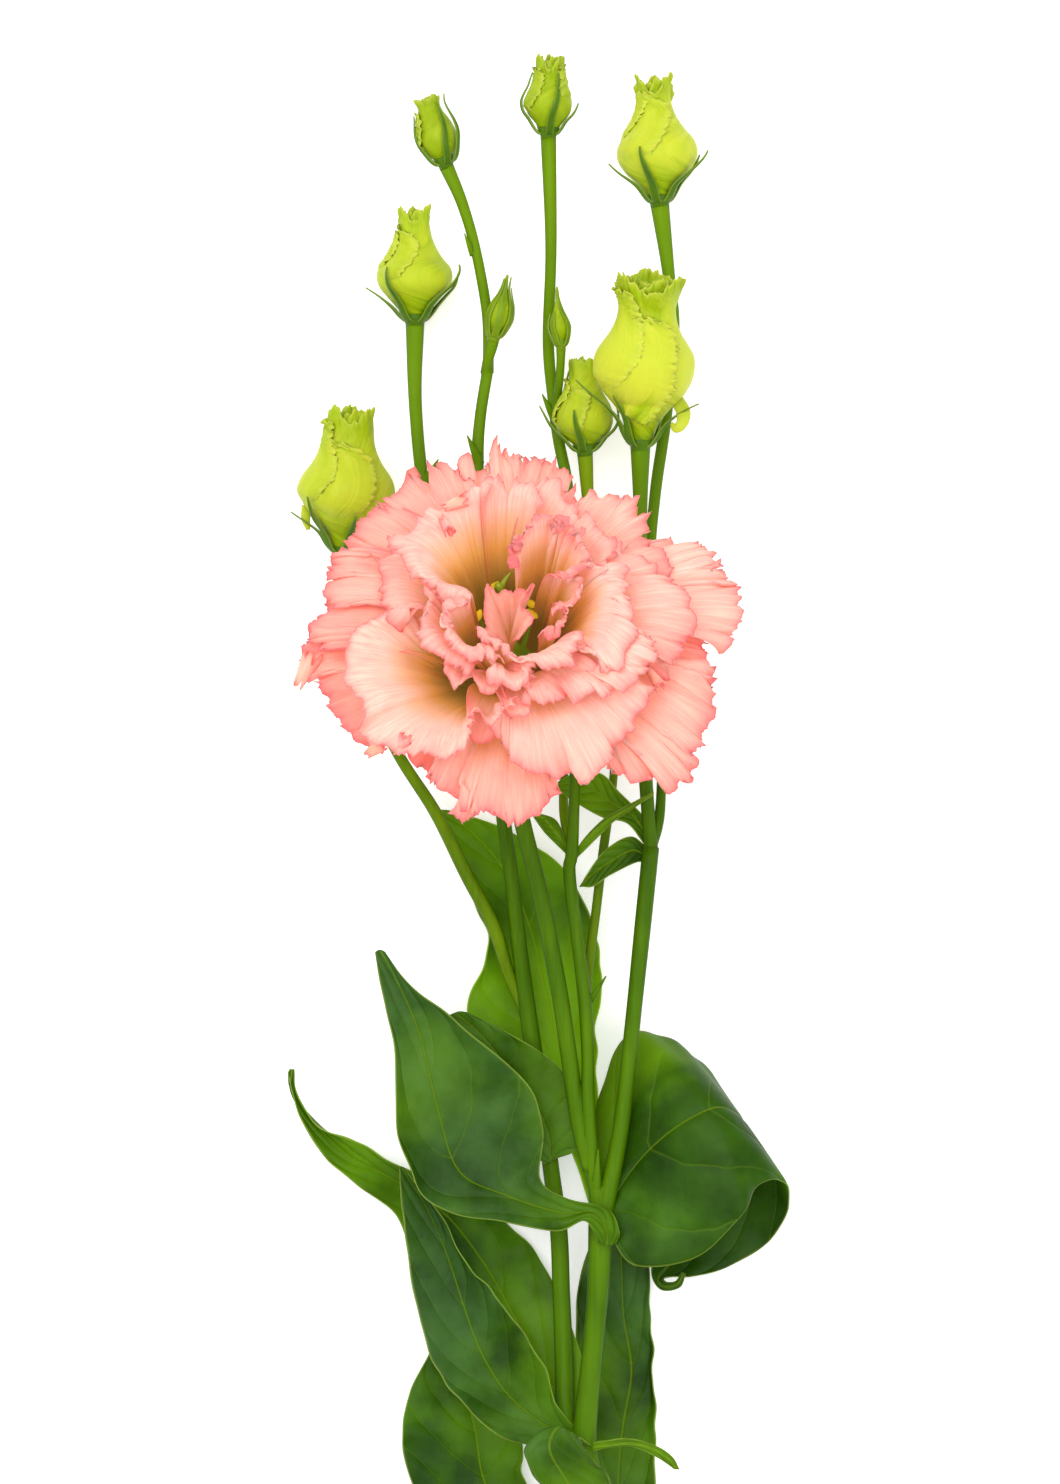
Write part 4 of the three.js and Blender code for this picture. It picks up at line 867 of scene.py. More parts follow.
def leaf_finish(name, glow, wax_and_sheen, lobe=0.0, through=0.0):
    """Leaf green: shares of painted light, of waxen bloom and painted sheen, of painted light on its left
    lobe, of painted glow.
    """
    finish = Finish(name)
    place = finish.place()
    along, across = finish.mark("along"), finish.mark("across")
    rib = finish.mark("rib_mm").size()
    rim = finish.mark("rim_mm")
    broad = finish.cloud(place, 22.0, 2.0)
    patches = finish.cloud(place, 70.0, 3.0)
    grain = finish.cloud(place, 900.0, 2.0)
    # side veins leave the midrib and arch towards the tip
    arch = along * 6.5 - across.size() ** 1.4 * 1.7 + patches * 0.5
    near_vein = ((arch * math.pi).sine().size() * -12.0 + 1.0).clamped()
    near_rib = (1.0 - rib / 0.35).clamped()
    near_rim = (1.0 - rim / 0.22).clamped()
    skin = finish.blend(LEAF_DEEP, LEAF_MID, ((patches - 0.32) * 3.0).clamped())
    # painted light: broad patches and the leaf's own share lighten the green
    lit = ((broad - 0.5) * 2.4 + (patches - 0.5) * 1.2 + glow).clamped()
    # painted light on the left lobe, as if lit through
    if lobe:
        painted_lobe_light = (across * -5.0 - 2.4).clamped() * ((0.36 - along) * 9.0).clamped()
        lit = (lit + painted_lobe_light * lobe).clamped()
    skin = finish.blend(skin, LEAF_GLOW, lit * 0.75)
    # wax bloom and painted sheen, in patches
    wax_and_sheen_share = ((0.56 - broad) * 3.0 + (patches - 0.5) * 2.0 + (grain - 0.5) * 0.6).clamped()
    skin = finish.blend(skin, LEAF_WAX_AND_SHEEN, wax_and_sheen_share * wax_and_sheen)
    skin = finish.blend(skin, LEAF_RIB, near_vein * 0.2)
    skin = finish.blend(skin, LEAF_RIB, near_rib * 0.6)
    # painted light along the thin rim
    skin = finish.blend(skin, LEAF_RIM_LIGHT, near_rim * 0.6)
    finish.set(Base_Color=skin, Roughness=0.36 + patches * 0.14 + grain * 0.05)
    finish.set(Subsurface_Weight=0.15, Subsurface_Scale=0.001, Specular_IOR_Level=0.11)
    # painted light: the leaf emits its own colour, standing for light that comes through it
    finish.set(Emission_Color=skin, Emission_Strength=through)
    quilt = (arch * math.pi).sine().size() ** 0.5
    finish.bump(patches + quilt * 0.3 + grain * 0.06 - near_rib * 0.25, 0.0018, 0.6)
    return finish.material


leaf_green = leaf_finish("leaf_green", 0.15, 0.27)
leaf_curled = leaf_finish("leaf_curled", -0.3, 0.2, lobe=1.0)
leaf_bright = leaf_finish("leaf_bright", 0.5, 0.0, through=0.2)
leaf_lit = leaf_finish("leaf_lit", 0.55, 0.0, through=0.45)
LEAF_LOOKS = {
    "leaf_right_curled": leaf_curled,
    "leaf_upper_back": leaf_lit,
    "leaf_left_far": leaf_bright,
    "leaf_bottom_left": leaf_bright,
    "leaf_bottom_thin": leaf_bright,
    "leaf_node_upper": leaf_bright,
    "leaf_node_lower": leaf_bright,
    "bract_left": leaf_bright,
    "bract_right": leaf_bright,
}

for name, made in leaves.items():
    dress(made, LEAF_LOOKS.get(name, leaf_green), "leaf", name)
print("leaves that are not plain green:", len(LEAF_LOOKS))

# %% [markdown]
# ## Buds
#
# An opening bud is a few petals wound round each other, and the free edge of each climbs the bud as a
# small crimped seam.  A turned body with a seam painted on would look like turned wood.  So a bud is
# four tubes of petals, one in the other, with ragged and cleft mouths.  On the outer one lie the petals
# whose free edges show.  Each edge is a short table: how high up the bud it stands on which side.

# %% The buds and how they swell
Bud = namedtuple("Bud", "top widths tone lobe wraps sepals")
# top of the bud, rows of (height share, radius in mm), how far its colour is from lime to lemon, how
# deep its mouth is cleft as a share of its height, the petals wrapped round it, and its sepals
Wrap = namedtuple("Wrap", "hidden free hang")
# rows of (height share, side) of the edge that lies under another petal and of the free edge, and the
# height share under which the petal hangs free.  Sides are degrees to the right of the one facing up
Sepal = namedtuple("Sepal", "foot tip reach middle off")
# sides of its foot and tip, height share of its tip, and how far its middle and tip stand off in mm

BUDS = {
    "bud_top_left": Bud(
        (-19.8, 123, 10),
        [(0, 1.6), (0.1, 2.6), (0.25, 3.3), (0.4, 3.4), (0.55, 3), (0.7, 2.4), (0.85, 2), (1, 2.3)],
        0.05, 0.03,
        [
            Wrap([(0.15, -120), (0.8, -120)], [(0.15, -60), (0.3, -43), (0.5, -30), (0.65, -30),
                                               (0.8, -40)], 0),
        ],
        [
            Sepal(-50, -66, 0.77, 0.2, 0.5), Sepal(30, 52, 0.88, 0, 0.3), Sepal(75, 85, 0.98, 0.5, 0.8),
            Sepal(150, 150, 0.7, 0.2, 0.3), Sepal(-140, -140, 0.7, 0.2, 0.3),
        ],
    ),
    "bud_top_middle": Bud(
        (3.8, 130.3, 12),
        [(0, 1.7), (0.1, 2.6), (0.2, 3.7), (0.3, 4.2), (0.4, 4.2), (0.5, 3.7), (0.6, 3.1), (0.7, 2.8),
         (0.8, 2.5), (1, 2.5)],
        0.1, 0.11,
        [
            Wrap([(0.2, -120), (0.86, -120)], [(0.2, -62), (0.28, -50), (0.42, -30), (0.6, -21),
                                               (0.71, -18), (0.79, -25), (0.86, -45)], 0),
            Wrap([(0.4, 120), (0.9, 110)], [(0.4, 40), (0.52, 22), (0.7, 33), (0.8, 29), (0.9, 40)], 0),
        ],
        [
            Sepal(-80, -80, 0.8, 0.4, 0.1), Sepal(5, 28, 0.79, 0, 0.2), Sepal(80, 85, 0.37, 0, 0.6),
            Sepal(150, 150, 0.6, 0.3, 0.3), Sepal(-150, -150, 0.6, 0.3, 0.3),
        ],
    ),
    "bud_top_right": Bud(
        (23.6, 126.4, 7.6),
        [(0, 2), (0.1, 3.5), (0.21, 5.9), (0.35, 7.5), (0.48, 6.9), (0.57, 5.4), (0.7, 3.7),
         (0.83, 3.0), (0.93, 3.1), (1, 3.6)],
        0.7, 0.085,
        [
            Wrap([(0.46, -125), (0.9, -120)], [(0.46, -78), (0.55, -58), (0.61, -49), (0.7, -36),
                                               (0.78, -24), (0.9, -20)], 0),
            Wrap([(0.3, -95), (0.87, -70)], [(0.3, -30), (0.34, -12), (0.44, 4), (0.57, 22), (0.66, 38),
                                             (0.73, 50), (0.79, 39), (0.87, -17)], 0),
        ],
        [
            Sepal(-60, -85, 0.3, 0, 1), Sepal(-12, -19, 0.42, 0, 0.4), Sepal(45, 80, 0.37, 0, 1.2),
            Sepal(120, 120, 0.35, 0, 0.5), Sepal(190, 190, 0.35, 0, 0.5),
        ],
    ),
    "bud_left": Bud(
        (-22.2, 101.5, 7.3),
        [(0, 1.9), (0.1, 3.6), (0.19, 5.2), (0.27, 6.6), (0.36, 7.1), (0.46, 6.6), (0.53, 5.4),
         (0.63, 4.2), (0.74, 3.2), (0.84, 2.8), (0.92, 2.7), (1, 2.9)],
        0.4, 0.07,
        [
            Wrap([(0.4, -125), (0.8, -120)], [(0.4, -78), (0.5, -58), (0.57, -49), (0.7, -45),
                                              (0.8, -60)], 0),
            Wrap([(0.3, -80), (0.85, -75)], [(0.3, -40), (0.34, -27), (0.44, -13), (0.55, 2),
                                             (0.67, 12), (0.76, -3), (0.85, -55)], 0),
        ],
        [
            Sepal(-75, -85, 0.27, 0, 1.6), Sepal(-35, -38, 0.46, 0, 0.5), Sepal(40, 72, 0.48, 0, 1.6),
            Sepal(110, 110, 0.4, 0, 0.6), Sepal(180, 180, 0.4, 0, 0.6),
        ],
    ),
    "bud_low_left": Bud(
        (-34, 63, 16),
        [(0, 1.9), (0.1, 3.4), (0.23, 6.8), (0.37, 8.8), (0.5, 8.2), (0.63, 6), (0.72, 5), (0.8, 4.5),
         (0.89, 4.2), (1, 4)],
        0.5, 0.06,
        [
            Wrap([(0.3, -130), (0.92, -120)], [(0.3, -60), (0.37, -37), (0.44, -28), (0.51, -19),
                                               (0.6, -18), (0.69, -25), (0.77, -37), (0.92, -42)], 0),
            Wrap([(0.2, -70), (0.77, -60)], [(0.2, 10), (0.35, 26), (0.49, 34), (0.59, 39), (0.67, 38),
                                             (0.73, 15), (0.77, -11)], 0),
        ],
        [
            Sepal(-75, -82, 0.24, 0, 2.2), Sepal(-62, -47, 0.37, 0, 0.4), Sepal(10, 10, 0.25, 0, 0.6),
            Sepal(90, 90, 0.3, 0, 0.6), Sepal(170, 170, 0.3, 0, 0.6),
        ],
    ),
    "bud_large": Bud(
        (22.8, 88, 23),
        [(0, 2), (0.13, 3.4), (0.21, 5.2), (0.29, 7.5), (0.35, 8.6), (0.44, 9.2), (0.54, 8.8),
         (0.6, 7.7), (0.66, 6.5), (0.76, 5.3), (0.84, 5.1), (0.91, 5.6), (1, 6.4)],
        0.9, 0.05,
        [
            Wrap([(0.3, -130), (0.93, -120)], [(0.3, -56), (0.36, -35), (0.42, -24), (0.48, -15),
                                               (0.58, -8), (0.68, -8), (0.76, -12),
                                               (0.86, -24), (0.93, -35)], 0),
            Wrap([(0.13, -10), (0.2, -50), (0.3, -62), (0.78, -60)],
                 [(0.13, 6), (0.2, 20), (0.28, 29), (0.38, 32), (0.53, 32), (0.62, 40), (0.7, 42),
                  (0.75, 28), (0.78, 2)], 0.24),
        ],
        [
            Sepal(-70, -80, 0.36, 0, 3.2), Sepal(-45, -40, 0.3, 0, 0.6), Sepal(60, 75, 0.25, 0, 3),
            Sepal(130, 130, 0.3, 0, 1), Sepal(200, 200, 0.3, 0, 1),
        ],
    ),
    "bud_small_front": Bud(
        (10.1, 73, 10.5),
        [(0, 1.6), (0.08, 3.2), (0.16, 4.6), (0.25, 5.3), (0.34, 5.3), (0.44, 4.9), (0.54, 4.1),
         (0.66, 3.1), (0.76, 2.5), (0.86, 2.4), (1, 2.4)],
        0.3, 0.02,
        [
            Wrap([(0.2, -125), (0.76, -120)], [(0.2, -75), (0.44, -62), (0.56, -43), (0.7, -50),
                                               (0.76, -70)], 0),
            Wrap([(0.1, -70), (0.65, -60)], [(0.1, -10), (0.16, -5), (0.22, -1), (0.34, 4), (0.44, 10),
                                             (0.56, 17), (0.65, 6)], 0),
        ],
        [
            Sepal(-70, -80, 0.47, 0, 3), Sepal(-10, -16, 0.4, 0, 0.4), Sepal(70, 85, 0.45, 0.2, 0.5),
            Sepal(130, 130, 0.4, 0, 0.5), Sepal(200, 200, 0.4, 0, 0.5),
        ],
    ),
}
BUD_FOOT = 1.6  # height of the green cup below the petals


def curve_at(x, xs, ys):
    """A smooth curve through points (xs, ys), at x."""
    xs, ys = np.asarray(xs, float), np.asarray(ys, float)
    slopes = np.gradient(ys, xs)
    k = np.clip(np.searchsorted(xs, x) - 1, 0, len(xs) - 2)
    wide = xs[k + 1] - xs[k]
    f = np.clip((x - xs[k]) / wide, 0, 1)
    start = (1 + 2 * f) * (1 - f) ** 2 * ys[k] + f * (1 - f) ** 2 * wide * slopes[k]
    return start + f * f * (3 - 2 * f) * ys[k + 1] + f * f * (f - 1) * wide * slopes[k + 1]


def swell(bud, v):
    """The bud's radius at height v, from 0 at its foot to 1 at its mouth."""
    return curve_at(np.clip(v, 0, 1), *zip(*bud.widths))


def belly(bud):
    """The bud's radius where it is widest."""
    return max(radius for _, radius in bud.widths)


print("radius of the large bud:", [round(float(swell(BUDS["bud_large"], v)), 1) for v in (0, 0.4, 1)])

# %% Standing on a branch's end
TABLE_GAP = 0.3  # a bud that lies on the table keeps its petals' middles this high, in mm


class Stand:
    """The end of a branch, with an axis that points to the top of what it carries."""

    def __init__(self, branch, top):
        self.foot = np.array(BRANCHES[branch][-1][:3], float)
        self.stem = BRANCHES[branch][-1][3]
        axis = np.array(top, float) - self.foot
        self.height = float(np.linalg.norm(axis))
        # the shortest turn that brings straight up onto the axis
        x, y, z = axis / self.height
        tilt = np.array([[0, 0, x], [0, 0, y], [-x, -y, 0]])
        self.turn = np.eye(3) + tilt + tilt @ tilt / (1 + z)

    def place(self, points):
        """Points about the axis, with z up it, as places on the spray and never under the table."""
        on_spray = points @ self.turn.T + self.foot
        on_spray[..., 2] = np.maximum(on_spray[..., 2], TABLE_GAP)
        return on_spray


print("height of the large bud:", round(Stand("to_bud_large", BUDS["bud_large"].top).height, 1), "mm")

# %% Tubes of petals, one in the other
BUD_GRAIN = 0.4  # mm between two points of a bud's petals
BUD_THICK = 0.4
LOBES = 3  # tips round the mouth of each tube
INNER_LOWER = 1.8  # how much lower the inner tubes end, beside the depth of the clefts
TUBES = [
    # size beside the bud's own radius, height share it starts from, turn
    (1.0, 0.0, 0.0),
    (0.78, 0.5, 1.1),
    (0.55, 0.6, 2.0),
    (0.3, 0.65, 2.9),
]


def petal_tube(bud, stand, size, start, turn, seed):
    """A petal wound once round the bud, its tips lobed and ragged round the mouth."""
    rows = round((1 - start) * stand.height / BUD_GRAIN)
    columns = round(2 * np.pi * belly(bud) * size / BUD_GRAIN)
    v, s = np.meshgrid(np.linspace(start, 1, rows), np.linspace(0, 1.1, columns), indexing="ij")
    angle = (2 * s + 0.5) * np.pi + turn
    round_mm = s * 2 * np.pi * bud.widths[-1][1] * size
    tip_mm = (1 - v) * stand.height
    frill = 0.4 * wobble(round_mm, 3.4, seed) + 0.2 * wobble(round_mm, 1.4, seed + 1)
    frill = frill * np.exp(-((tip_mm / 1.6) ** 2)) * min(1, bud.widths[-1][1] / 2)
    buckle = 0.02 * belly(bud) * wobble(s + v * 0.4, 0.31, seed + 2) * smooth(v / 0.3)
    radius = swell(bud, v) * size - 0.3 * np.clip((0.1 - s) / 0.1, 0, 1) + frill * size + buckle
    lobed = np.cos(LOBES * angle + math.pi / 2 + 2 * turn) - 0.4
    cleft = bud.lobe * (lobed - INNER_LOWER * (1 - size))
    ragged_mm = 0.35 * wobble(round_mm, 3.0, seed + 3) + 0.25 * wobble(round_mm, 1.2, seed + 4)
    uneven = cleft + ragged_mm / stand.height
    z = mix(BUD_FOOT, stand.height, v * (1 + uneven * smooth((v - 0.6) / 0.4)))
    grid = stand.place(np.stack([radius * np.cos(angle), radius * np.sin(angle), z], axis=-1))
    marks = {"along": v, "across": s * 2 * np.pi * radius, "rim_mm": tip_mm, "tone": bud.tone + 0 * v}
    return sheet(grid, mix(0.18, BUD_THICK, smooth(tip_mm / 1.2)), marks)


# %% Petals wrapped round the bud
PROUD = 0.6  # mm that a free edge stands off
BUD_WIDE = 7.5  # the radius in mm from which on the edges stand off more
CRIMP_LONG = 1.5  # mm from one crimp of a free edge to the next but one


def wrap_petal(bud, stand, wrap, seed):
    """A petal on the bud from its hidden edge to its free and crimped one."""
    low, high = wrap.free[0][0], wrap.free[-1][0]
    v = np.linspace(low, high, round((high - low) * stand.height / BUD_GRAIN))[:, None]
    hidden, free = curve_at(v, *zip(*wrap.hidden)), curve_at(v, *zip(*wrap.free))
    body = swell(bud, np.maximum(v, wrap.hang))
    wide_mm = np.radians(np.abs(free - hidden)) * body
    s = np.linspace(0, 1, round(wide_mm.max() / BUD_GRAIN))[None, :]
    climb = v * stand.height + 0 * s
    edge_mm = (1 - s) * wide_mm
    tip_mm = (high - v) * stand.height + 0 * s
    rim_mm = np.minimum(edge_mm, tip_mm)
    along_edge = climb + s * 3
    crimped = np.exp(-rim_mm / 0.9)
    wave = wobble(along_edge, CRIMP_LONG, seed)
    pleats = 0.2 * wobble(along_edge, 1.3, seed + 1) * np.exp(-rim_mm / 2.4)
    rise = smooth((v - low) / 0.12) if not wrap.hang else 1 + 0 * v
    bold = max(1, (belly(bud) / BUD_WIDE) ** 2.5)
    off = mix(-0.25, PROUD * bold, smooth(s * 1.6)) - (1 - rise) * (PROUD * bold + 0.2)
    radius = body + off + (crimped * (0.1 + 0.4 * wave) + pleats) * rise * bold
    turned_by = np.sign(free - hidden) * crimped * 0.35 * wobble(along_edge, CRIMP_LONG, seed + 2)
    angle = np.radians(mix(hidden, free, s) - 90) + turned_by / radius
    z = mix(BUD_FOOT, stand.height, v) + 0.4 * np.exp(-tip_mm / 1.2) * wobble(s * wide_mm, 1.6, seed + 3)
    grid = stand.place(np.stack([radius * np.cos(angle), radius * np.sin(angle), z], axis=-1))
    if wrap.free[0][1] < wrap.hidden[0][1]:
        grid = grid[:, ::-1]
        edge_mm, rim_mm = edge_mm[:, ::-1], rim_mm[:, ::-1]
    marks = {"along": v + 0 * s, "across": edge_mm, "rim_mm": rim_mm, "tone": bud.tone + 0 * rim_mm}
    return sheet(grid, mix(0.2, BUD_THICK, smooth(rim_mm / 1.2)), marks)


LAPPETS = {
    # tips of petals that hang out of a bud, rows of x, y, z and half width
    "bud_large": [
        (27.9, 65, 19, 1.4), (29.1, 62.8, 20, 1.4), (28.9, 60.6, 21, 1.1), (27.7, 59.6, 21, 0.9),
        (26.8, 60.5, 20.5, 0.4),
    ],
    "bud_low_left": [(-42.6, 45, 15, 0.9), (-42.7, 42.6, 15.6, 0.9), (-42.2, 40.4, 15.6, 0.4)],
}


def furled_petals(name, bud, seed):
    stand = Stand(f"to_{name}", bud.top)
    shapes = [petal_tube(bud, stand, *row, seed + 10 * k) for k, row in enumerate(TUBES)]
    shapes += [wrap_petal(bud, stand, wrap, seed + 50 + 10 * k) for k, wrap in enumerate(bud.wraps)]
    if name in LAPPETS:
        points, faces = tube(LAPPETS[name], sides=12, step=0.4, flat=0.3)
        plain = np.full(len(points), 0.5)
        shapes.append((points, faces, {"along": plain, "across": plain, "rim_mm": plain, "tone": plain}))
    return mesh_object(f"{name}_furl", *together(shapes))


bud_petals = {name: furled_petals(name, bud, 100 * n) for n, (name, bud) in enumerate(BUDS.items())}
print("faces of all bud petals:", sum(len(made.data.polygons) for made in bud_petals.values()))

# %% [markdown]
# ## The green cups of the buds
#
# Five narrow sepals hold each bud.  They grow from a small cup, hug the petals and leave them with a
# thin tip.  Each has a keel down its back and pale, thin margins.  A sepal is one more sheet, bent to
# the bud's own curve, so it always lies close to it.

# %% Sepals and cup
SEPALS = 5
SEPAL_THICK = 0.35
SEPAL_GAP = 0.06  # from the petals to a sepal, as a share of the bud's width


def sepal(bud, stand, row):
    """A keeled strip that hugs the bud and then stands off it."""
    t, u = np.meshgrid(np.linspace(0, 1, 44), np.linspace(-1, 1, 9), indexing="ij")
    v = t * row.reach
    foot_rise = smooth(t / 0.2)
    widest = belly(bud)
    off = SEPAL_GAP * 2 * widest * foot_rise + row.middle * np.sin(np.pi * t) + row.off * t**2.5
    radius = swell(bud, v) + 0.2 * foot_rise + off
    z = mix(BUD_FOOT * 0.3, mix(BUD_FOOT, stand.height, v), foot_rise)
    half = (0.42 + 0.045 * widest) * (1 - t**1.3) ** 0.9 + 0.14
    keel = 0.06 * widest * foot_rise * (1 - t * 0.6) * (1 - np.abs(u)) ** 1.3
    angle = np.radians(mix(row.foot, row.tip, smooth(t)) - 90) + half * u / np.maximum(radius, 1)
    out = radius + keel
    grid = np.stack([out * np.cos(angle), out * np.sin(angle), z], axis=-1)
    marks = {"along": t, "across": u, "rim_mm": (1 - np.abs(u)) * half}
    return sheet(stand.place(grid), SEPAL_THICK * mix(1, 0.5, t), marks)


def turned(profile, sides):
    """A closed turned body from a profile of radius and height that starts and ends on the axis."""
    profile = np.asarray(profile, float)
    turn = np.linspace(0, 2 * np.pi, sides, endpoint=False)
    rings = [[r * np.cos(turn), r * np.sin(turn), np.full(sides, z)] for r, z in profile[1:-1]]
    points = [*np.stack(rings).transpose(0, 2, 1).reshape(-1, 3)]
    faces = []
    for first in range(0, (len(rings) - 1) * sides, sides):
        for k in range(sides):
            after = (k + 1) % sides
            faces.append([first + k, first + after, first + sides + after, first + sides + k])
    low, high = len(points), len(points) + 1
    points += [(0, 0, profile[0][1]), (0, 0, profile[-1][1])]
    last = (len(rings) - 1) * sides
    for k in range(sides):
        after = (k + 1) % sides
        faces.append([low, after, k])
        faces.append([high, last + k, last + after])
    return np.array(points), faces


def calyx(name, bud):
    stand = Stand(f"to_{name}", bud.top)
    rim = float(swell(bud, 0.03)) + 0.15
    profile = [
        (0, -0.6),
        (stand.stem * 0.98, -0.6),
        (stand.stem * 1.02, 0.1),
        (mix(stand.stem, rim, 0.55), BUD_FOOT * 0.45),
        (rim, BUD_FOOT * 1.1),
        (rim * 0.8, BUD_FOOT * 1.25),
        (0, BUD_FOOT * 1.2),
    ]
    points, faces = turned(profile, 28)
    plain = np.zeros(len(points))
    cup = stand.place(points), faces, {"along": plain, "across": plain, "rim_mm": plain + 1}
    shapes = [cup] + [sepal(bud, stand, row) for row in bud.sepals]
    return mesh_object(f"{name}_cup", *together(shapes))


calyces = {name: calyx(name, bud) for name, bud in BUDS.items()}
print("cups made:", len(calyces))

# %% [markdown]
# ## Closed buds
#
# Two side buds are still shut: long sepals fold over a slim green body.  Each could be modelled from
# nothing, but it is an opening bud without wrapped petals and with sepals that reach its tip, so the
# same table and the same two functions make it.

# %% Two buds that are still closed
CLOSED_BUDS = {
    "closed_bud_left": Bud(
        (-4.3, 89, 13.8),
        [(0, 1.2), (0.1, 1.8), (0.22, 2.2), (0.36, 2.1), (0.5, 1.7), (0.62, 1.1), (0.75, 0.5),
         (1, 0.1)],
        0, 0, [],
        [
            Sepal(-60, -35, 0.93, 0, 0.4), Sepal(-5, 0, 1, 0, 0.1), Sepal(45, 50, 0.98, 0, 0.3),
            Sepal(80, 80, 0.8, 0.1, 0.5), Sepal(180, 180, 0.8, 0, 0.3),
        ],
    ),
    "closed_bud_right": Bud(
        (5.1, 86.7, 15),
        [(0, 0.9), (0.12, 1.5), (0.25, 1.75), (0.4, 1.4), (0.52, 0.9), (0.65, 0.45), (0.75, 0.25),
         (1, 0.1)],
        0, 0, [],
        [
            Sepal(65, 10, 1, 0.1, 0.1), Sepal(-30, -30, 0.55, 0, 0.3), Sepal(-80, -80, 0.5, 0, 0.2),
            Sepal(180, 180, 0.6, 0, 0.2),
        ],
    ),
}


CLOSED_SEED = 900


def closed_body(name, bud):
    shape = petal_tube(bud, Stand(f"to_{name}", bud.top), 1.0, 0.0, 0.0, CLOSED_SEED)
    return mesh_object(f"{name}_body", *shape)


closed_bodies = {name: closed_body(name, bud) for name, bud in CLOSED_BUDS.items()}
closed_cups = {name: calyx(name, bud) for name, bud in CLOSED_BUDS.items()}
print("closed buds:", len(closed_bodies))

# %% [markdown]
# ## Bud colours
#
# The furled petals are still green-yellow, deeper at the foot, and fine pale veins run up them.  One
# colour for all would make the small buds look ripe.  Each petal carries its bud's own tone, and the
# finish blends the ramp of colours towards lime where that tone is low, so one finish serves all.  The
# sepals are leaf green with thin pale margins, and paler on the two closed buds.

# %% Bud finishes
BUD_LEMON = colour(194, 204, 52)
BUD_LIME = colour(150, 176, 0)
BUD_DEEP = colour(100, 134, 0)
BUD_PALE = colour(212, 216, 96)


def bud_finish():
    finish = Finish("bud_lime")
    along, across, rim = finish.mark("along"), finish.mark("across"), finish.mark("rim_mm")
    tone = finish.mark("tone")
    streak = finish.cloud(finish.spot(across * 0.4, along * 3.0, tone), 1.0, 3.0)
    veins = finish.cloud(finish.spot(across * 2.4, along * 2.0, 7.0), 1.0, 2.0)
    stops = [(0.0, BUD_DEEP), (0.12, BUD_LIME), (0.3, BUD_LEMON), (0.65, BUD_LEMON), (0.95, BUD_LIME)]
    shift = along + (streak - 0.5) * 0.5
    skin = finish.add("ShaderNodeValToRGB", {"stops": stops}, {"Fac": shift}, output="Color")
    # the youngest buds are lime green all over
    skin = finish.blend(skin, BUD_LIME, ((0.8 - tone) + (streak - 0.5)).clamped())
    skin = finish.blend(skin, BUD_DEEP, ((0.35 - tone) * 1.4 + (streak - 0.5)).clamped() * 0.8)
    skin = finish.blend(skin, BUD_PALE, ((veins - 0.5) * 1.6).clamped() * (0.1 + tone * 0.25))
    skin = finish.blend(skin, BUD_PALE, (rim.fading(1.6) * 0.45).clamped())
    finish.set(Base_Color=skin, Roughness=0.4 + streak * 0.12)
    finish.set(Subsurface_Weight=0.15, Subsurface_Scale=0.001, Specular_IOR_Level=0.12)
    finish.bump(veins + streak * 0.5, 0.0003, 0.6)
    return finish.material


bud_lime = bud_finish()
print("bud finish:", bud_lime.name)

# %% Sepal finish
SEPAL_DARK = colour(42, 78, 2)
SEPAL_LIGHT = colour(92, 130, 10)
YOUNG_SEPAL_DARK = colour(74, 108, 0)
YOUNG_SEPAL_LIGHT = colour(128, 158, 8)
SEPAL_EDGE = colour(140, 168, 60)


def sepal_finish(name, dark, light):
    finish = Finish(name)
    rim = finish.mark("rim_mm")
    patches = finish.cloud(finish.place(), 250.0, 3.0)
    skin = finish.blend(dark, light, patches)
    skin = finish.blend(skin, SEPAL_EDGE, (1.0 - rim / 0.3).clamped() * 0.5)
    finish.set(Base_Color=skin, Roughness=0.4 + patches * 0.1)
    finish.set(Subsurface_Weight=0.15, Subsurface_Scale=0.001, Specular_IOR_Level=0.15)
    finish.bump(patches, 0.0001, 0.4)
    return finish.material


sepal_green = sepal_finish("sepal_green", SEPAL_DARK, SEPAL_LIGHT)
sepal_young = sepal_finish("sepal_young", YOUNG_SEPAL_DARK, YOUNG_SEPAL_LIGHT)
for name in BUDS:
    dress(bud_petals[name], bud_lime, "bud", f"{name}_petals")
    dress(calyces[name], sepal_green, "sepal", f"{name}_calyx")
for name in CLOSED_BUDS:
    dress(closed_bodies[name], bud_lime, "sepal", name)
    dress(closed_cups[name], sepal_young, "sepal", name)
print("sepal finish:", sepal_green.name)

# %% [markdown]
# ## The bloom
#
# The flower is double: some three dozen petals stand in rings on a small disc, the outer ones laid open
# and the inner ones cupped round the throat.  A ring of equal petals, each turned a little, would look
# stamped.  So each petal starts from its own margin, a line of points in millimetres as the picture
# shows it, with the height at which it lies.  The blade is a fan of curves from the petal's foot to that
# margin, and its ruffles are waves that grow towards the margin and run square to it.

# %% Where the flower stands
FLOWER_BASE = np.array([-3.5, 14, 29])
FLOWER_TIP = math.radians(22)  # how far its face is tipped up the spray


def on_flower(points):
    """Points about the flower's axis, with z up it, as places on the spray."""
    x, y, z = np.moveaxis(np.asarray(points, float), -1, 0)
    tipped_y = y * math.cos(FLOWER_TIP) + z * math.sin(FLOWER_TIP)
    tipped_z = z * math.cos(FLOWER_TIP) - y * math.sin(FLOWER_TIP)
    return np.stack([x, tipped_y, tipped_z], axis=-1) + FLOWER_BASE


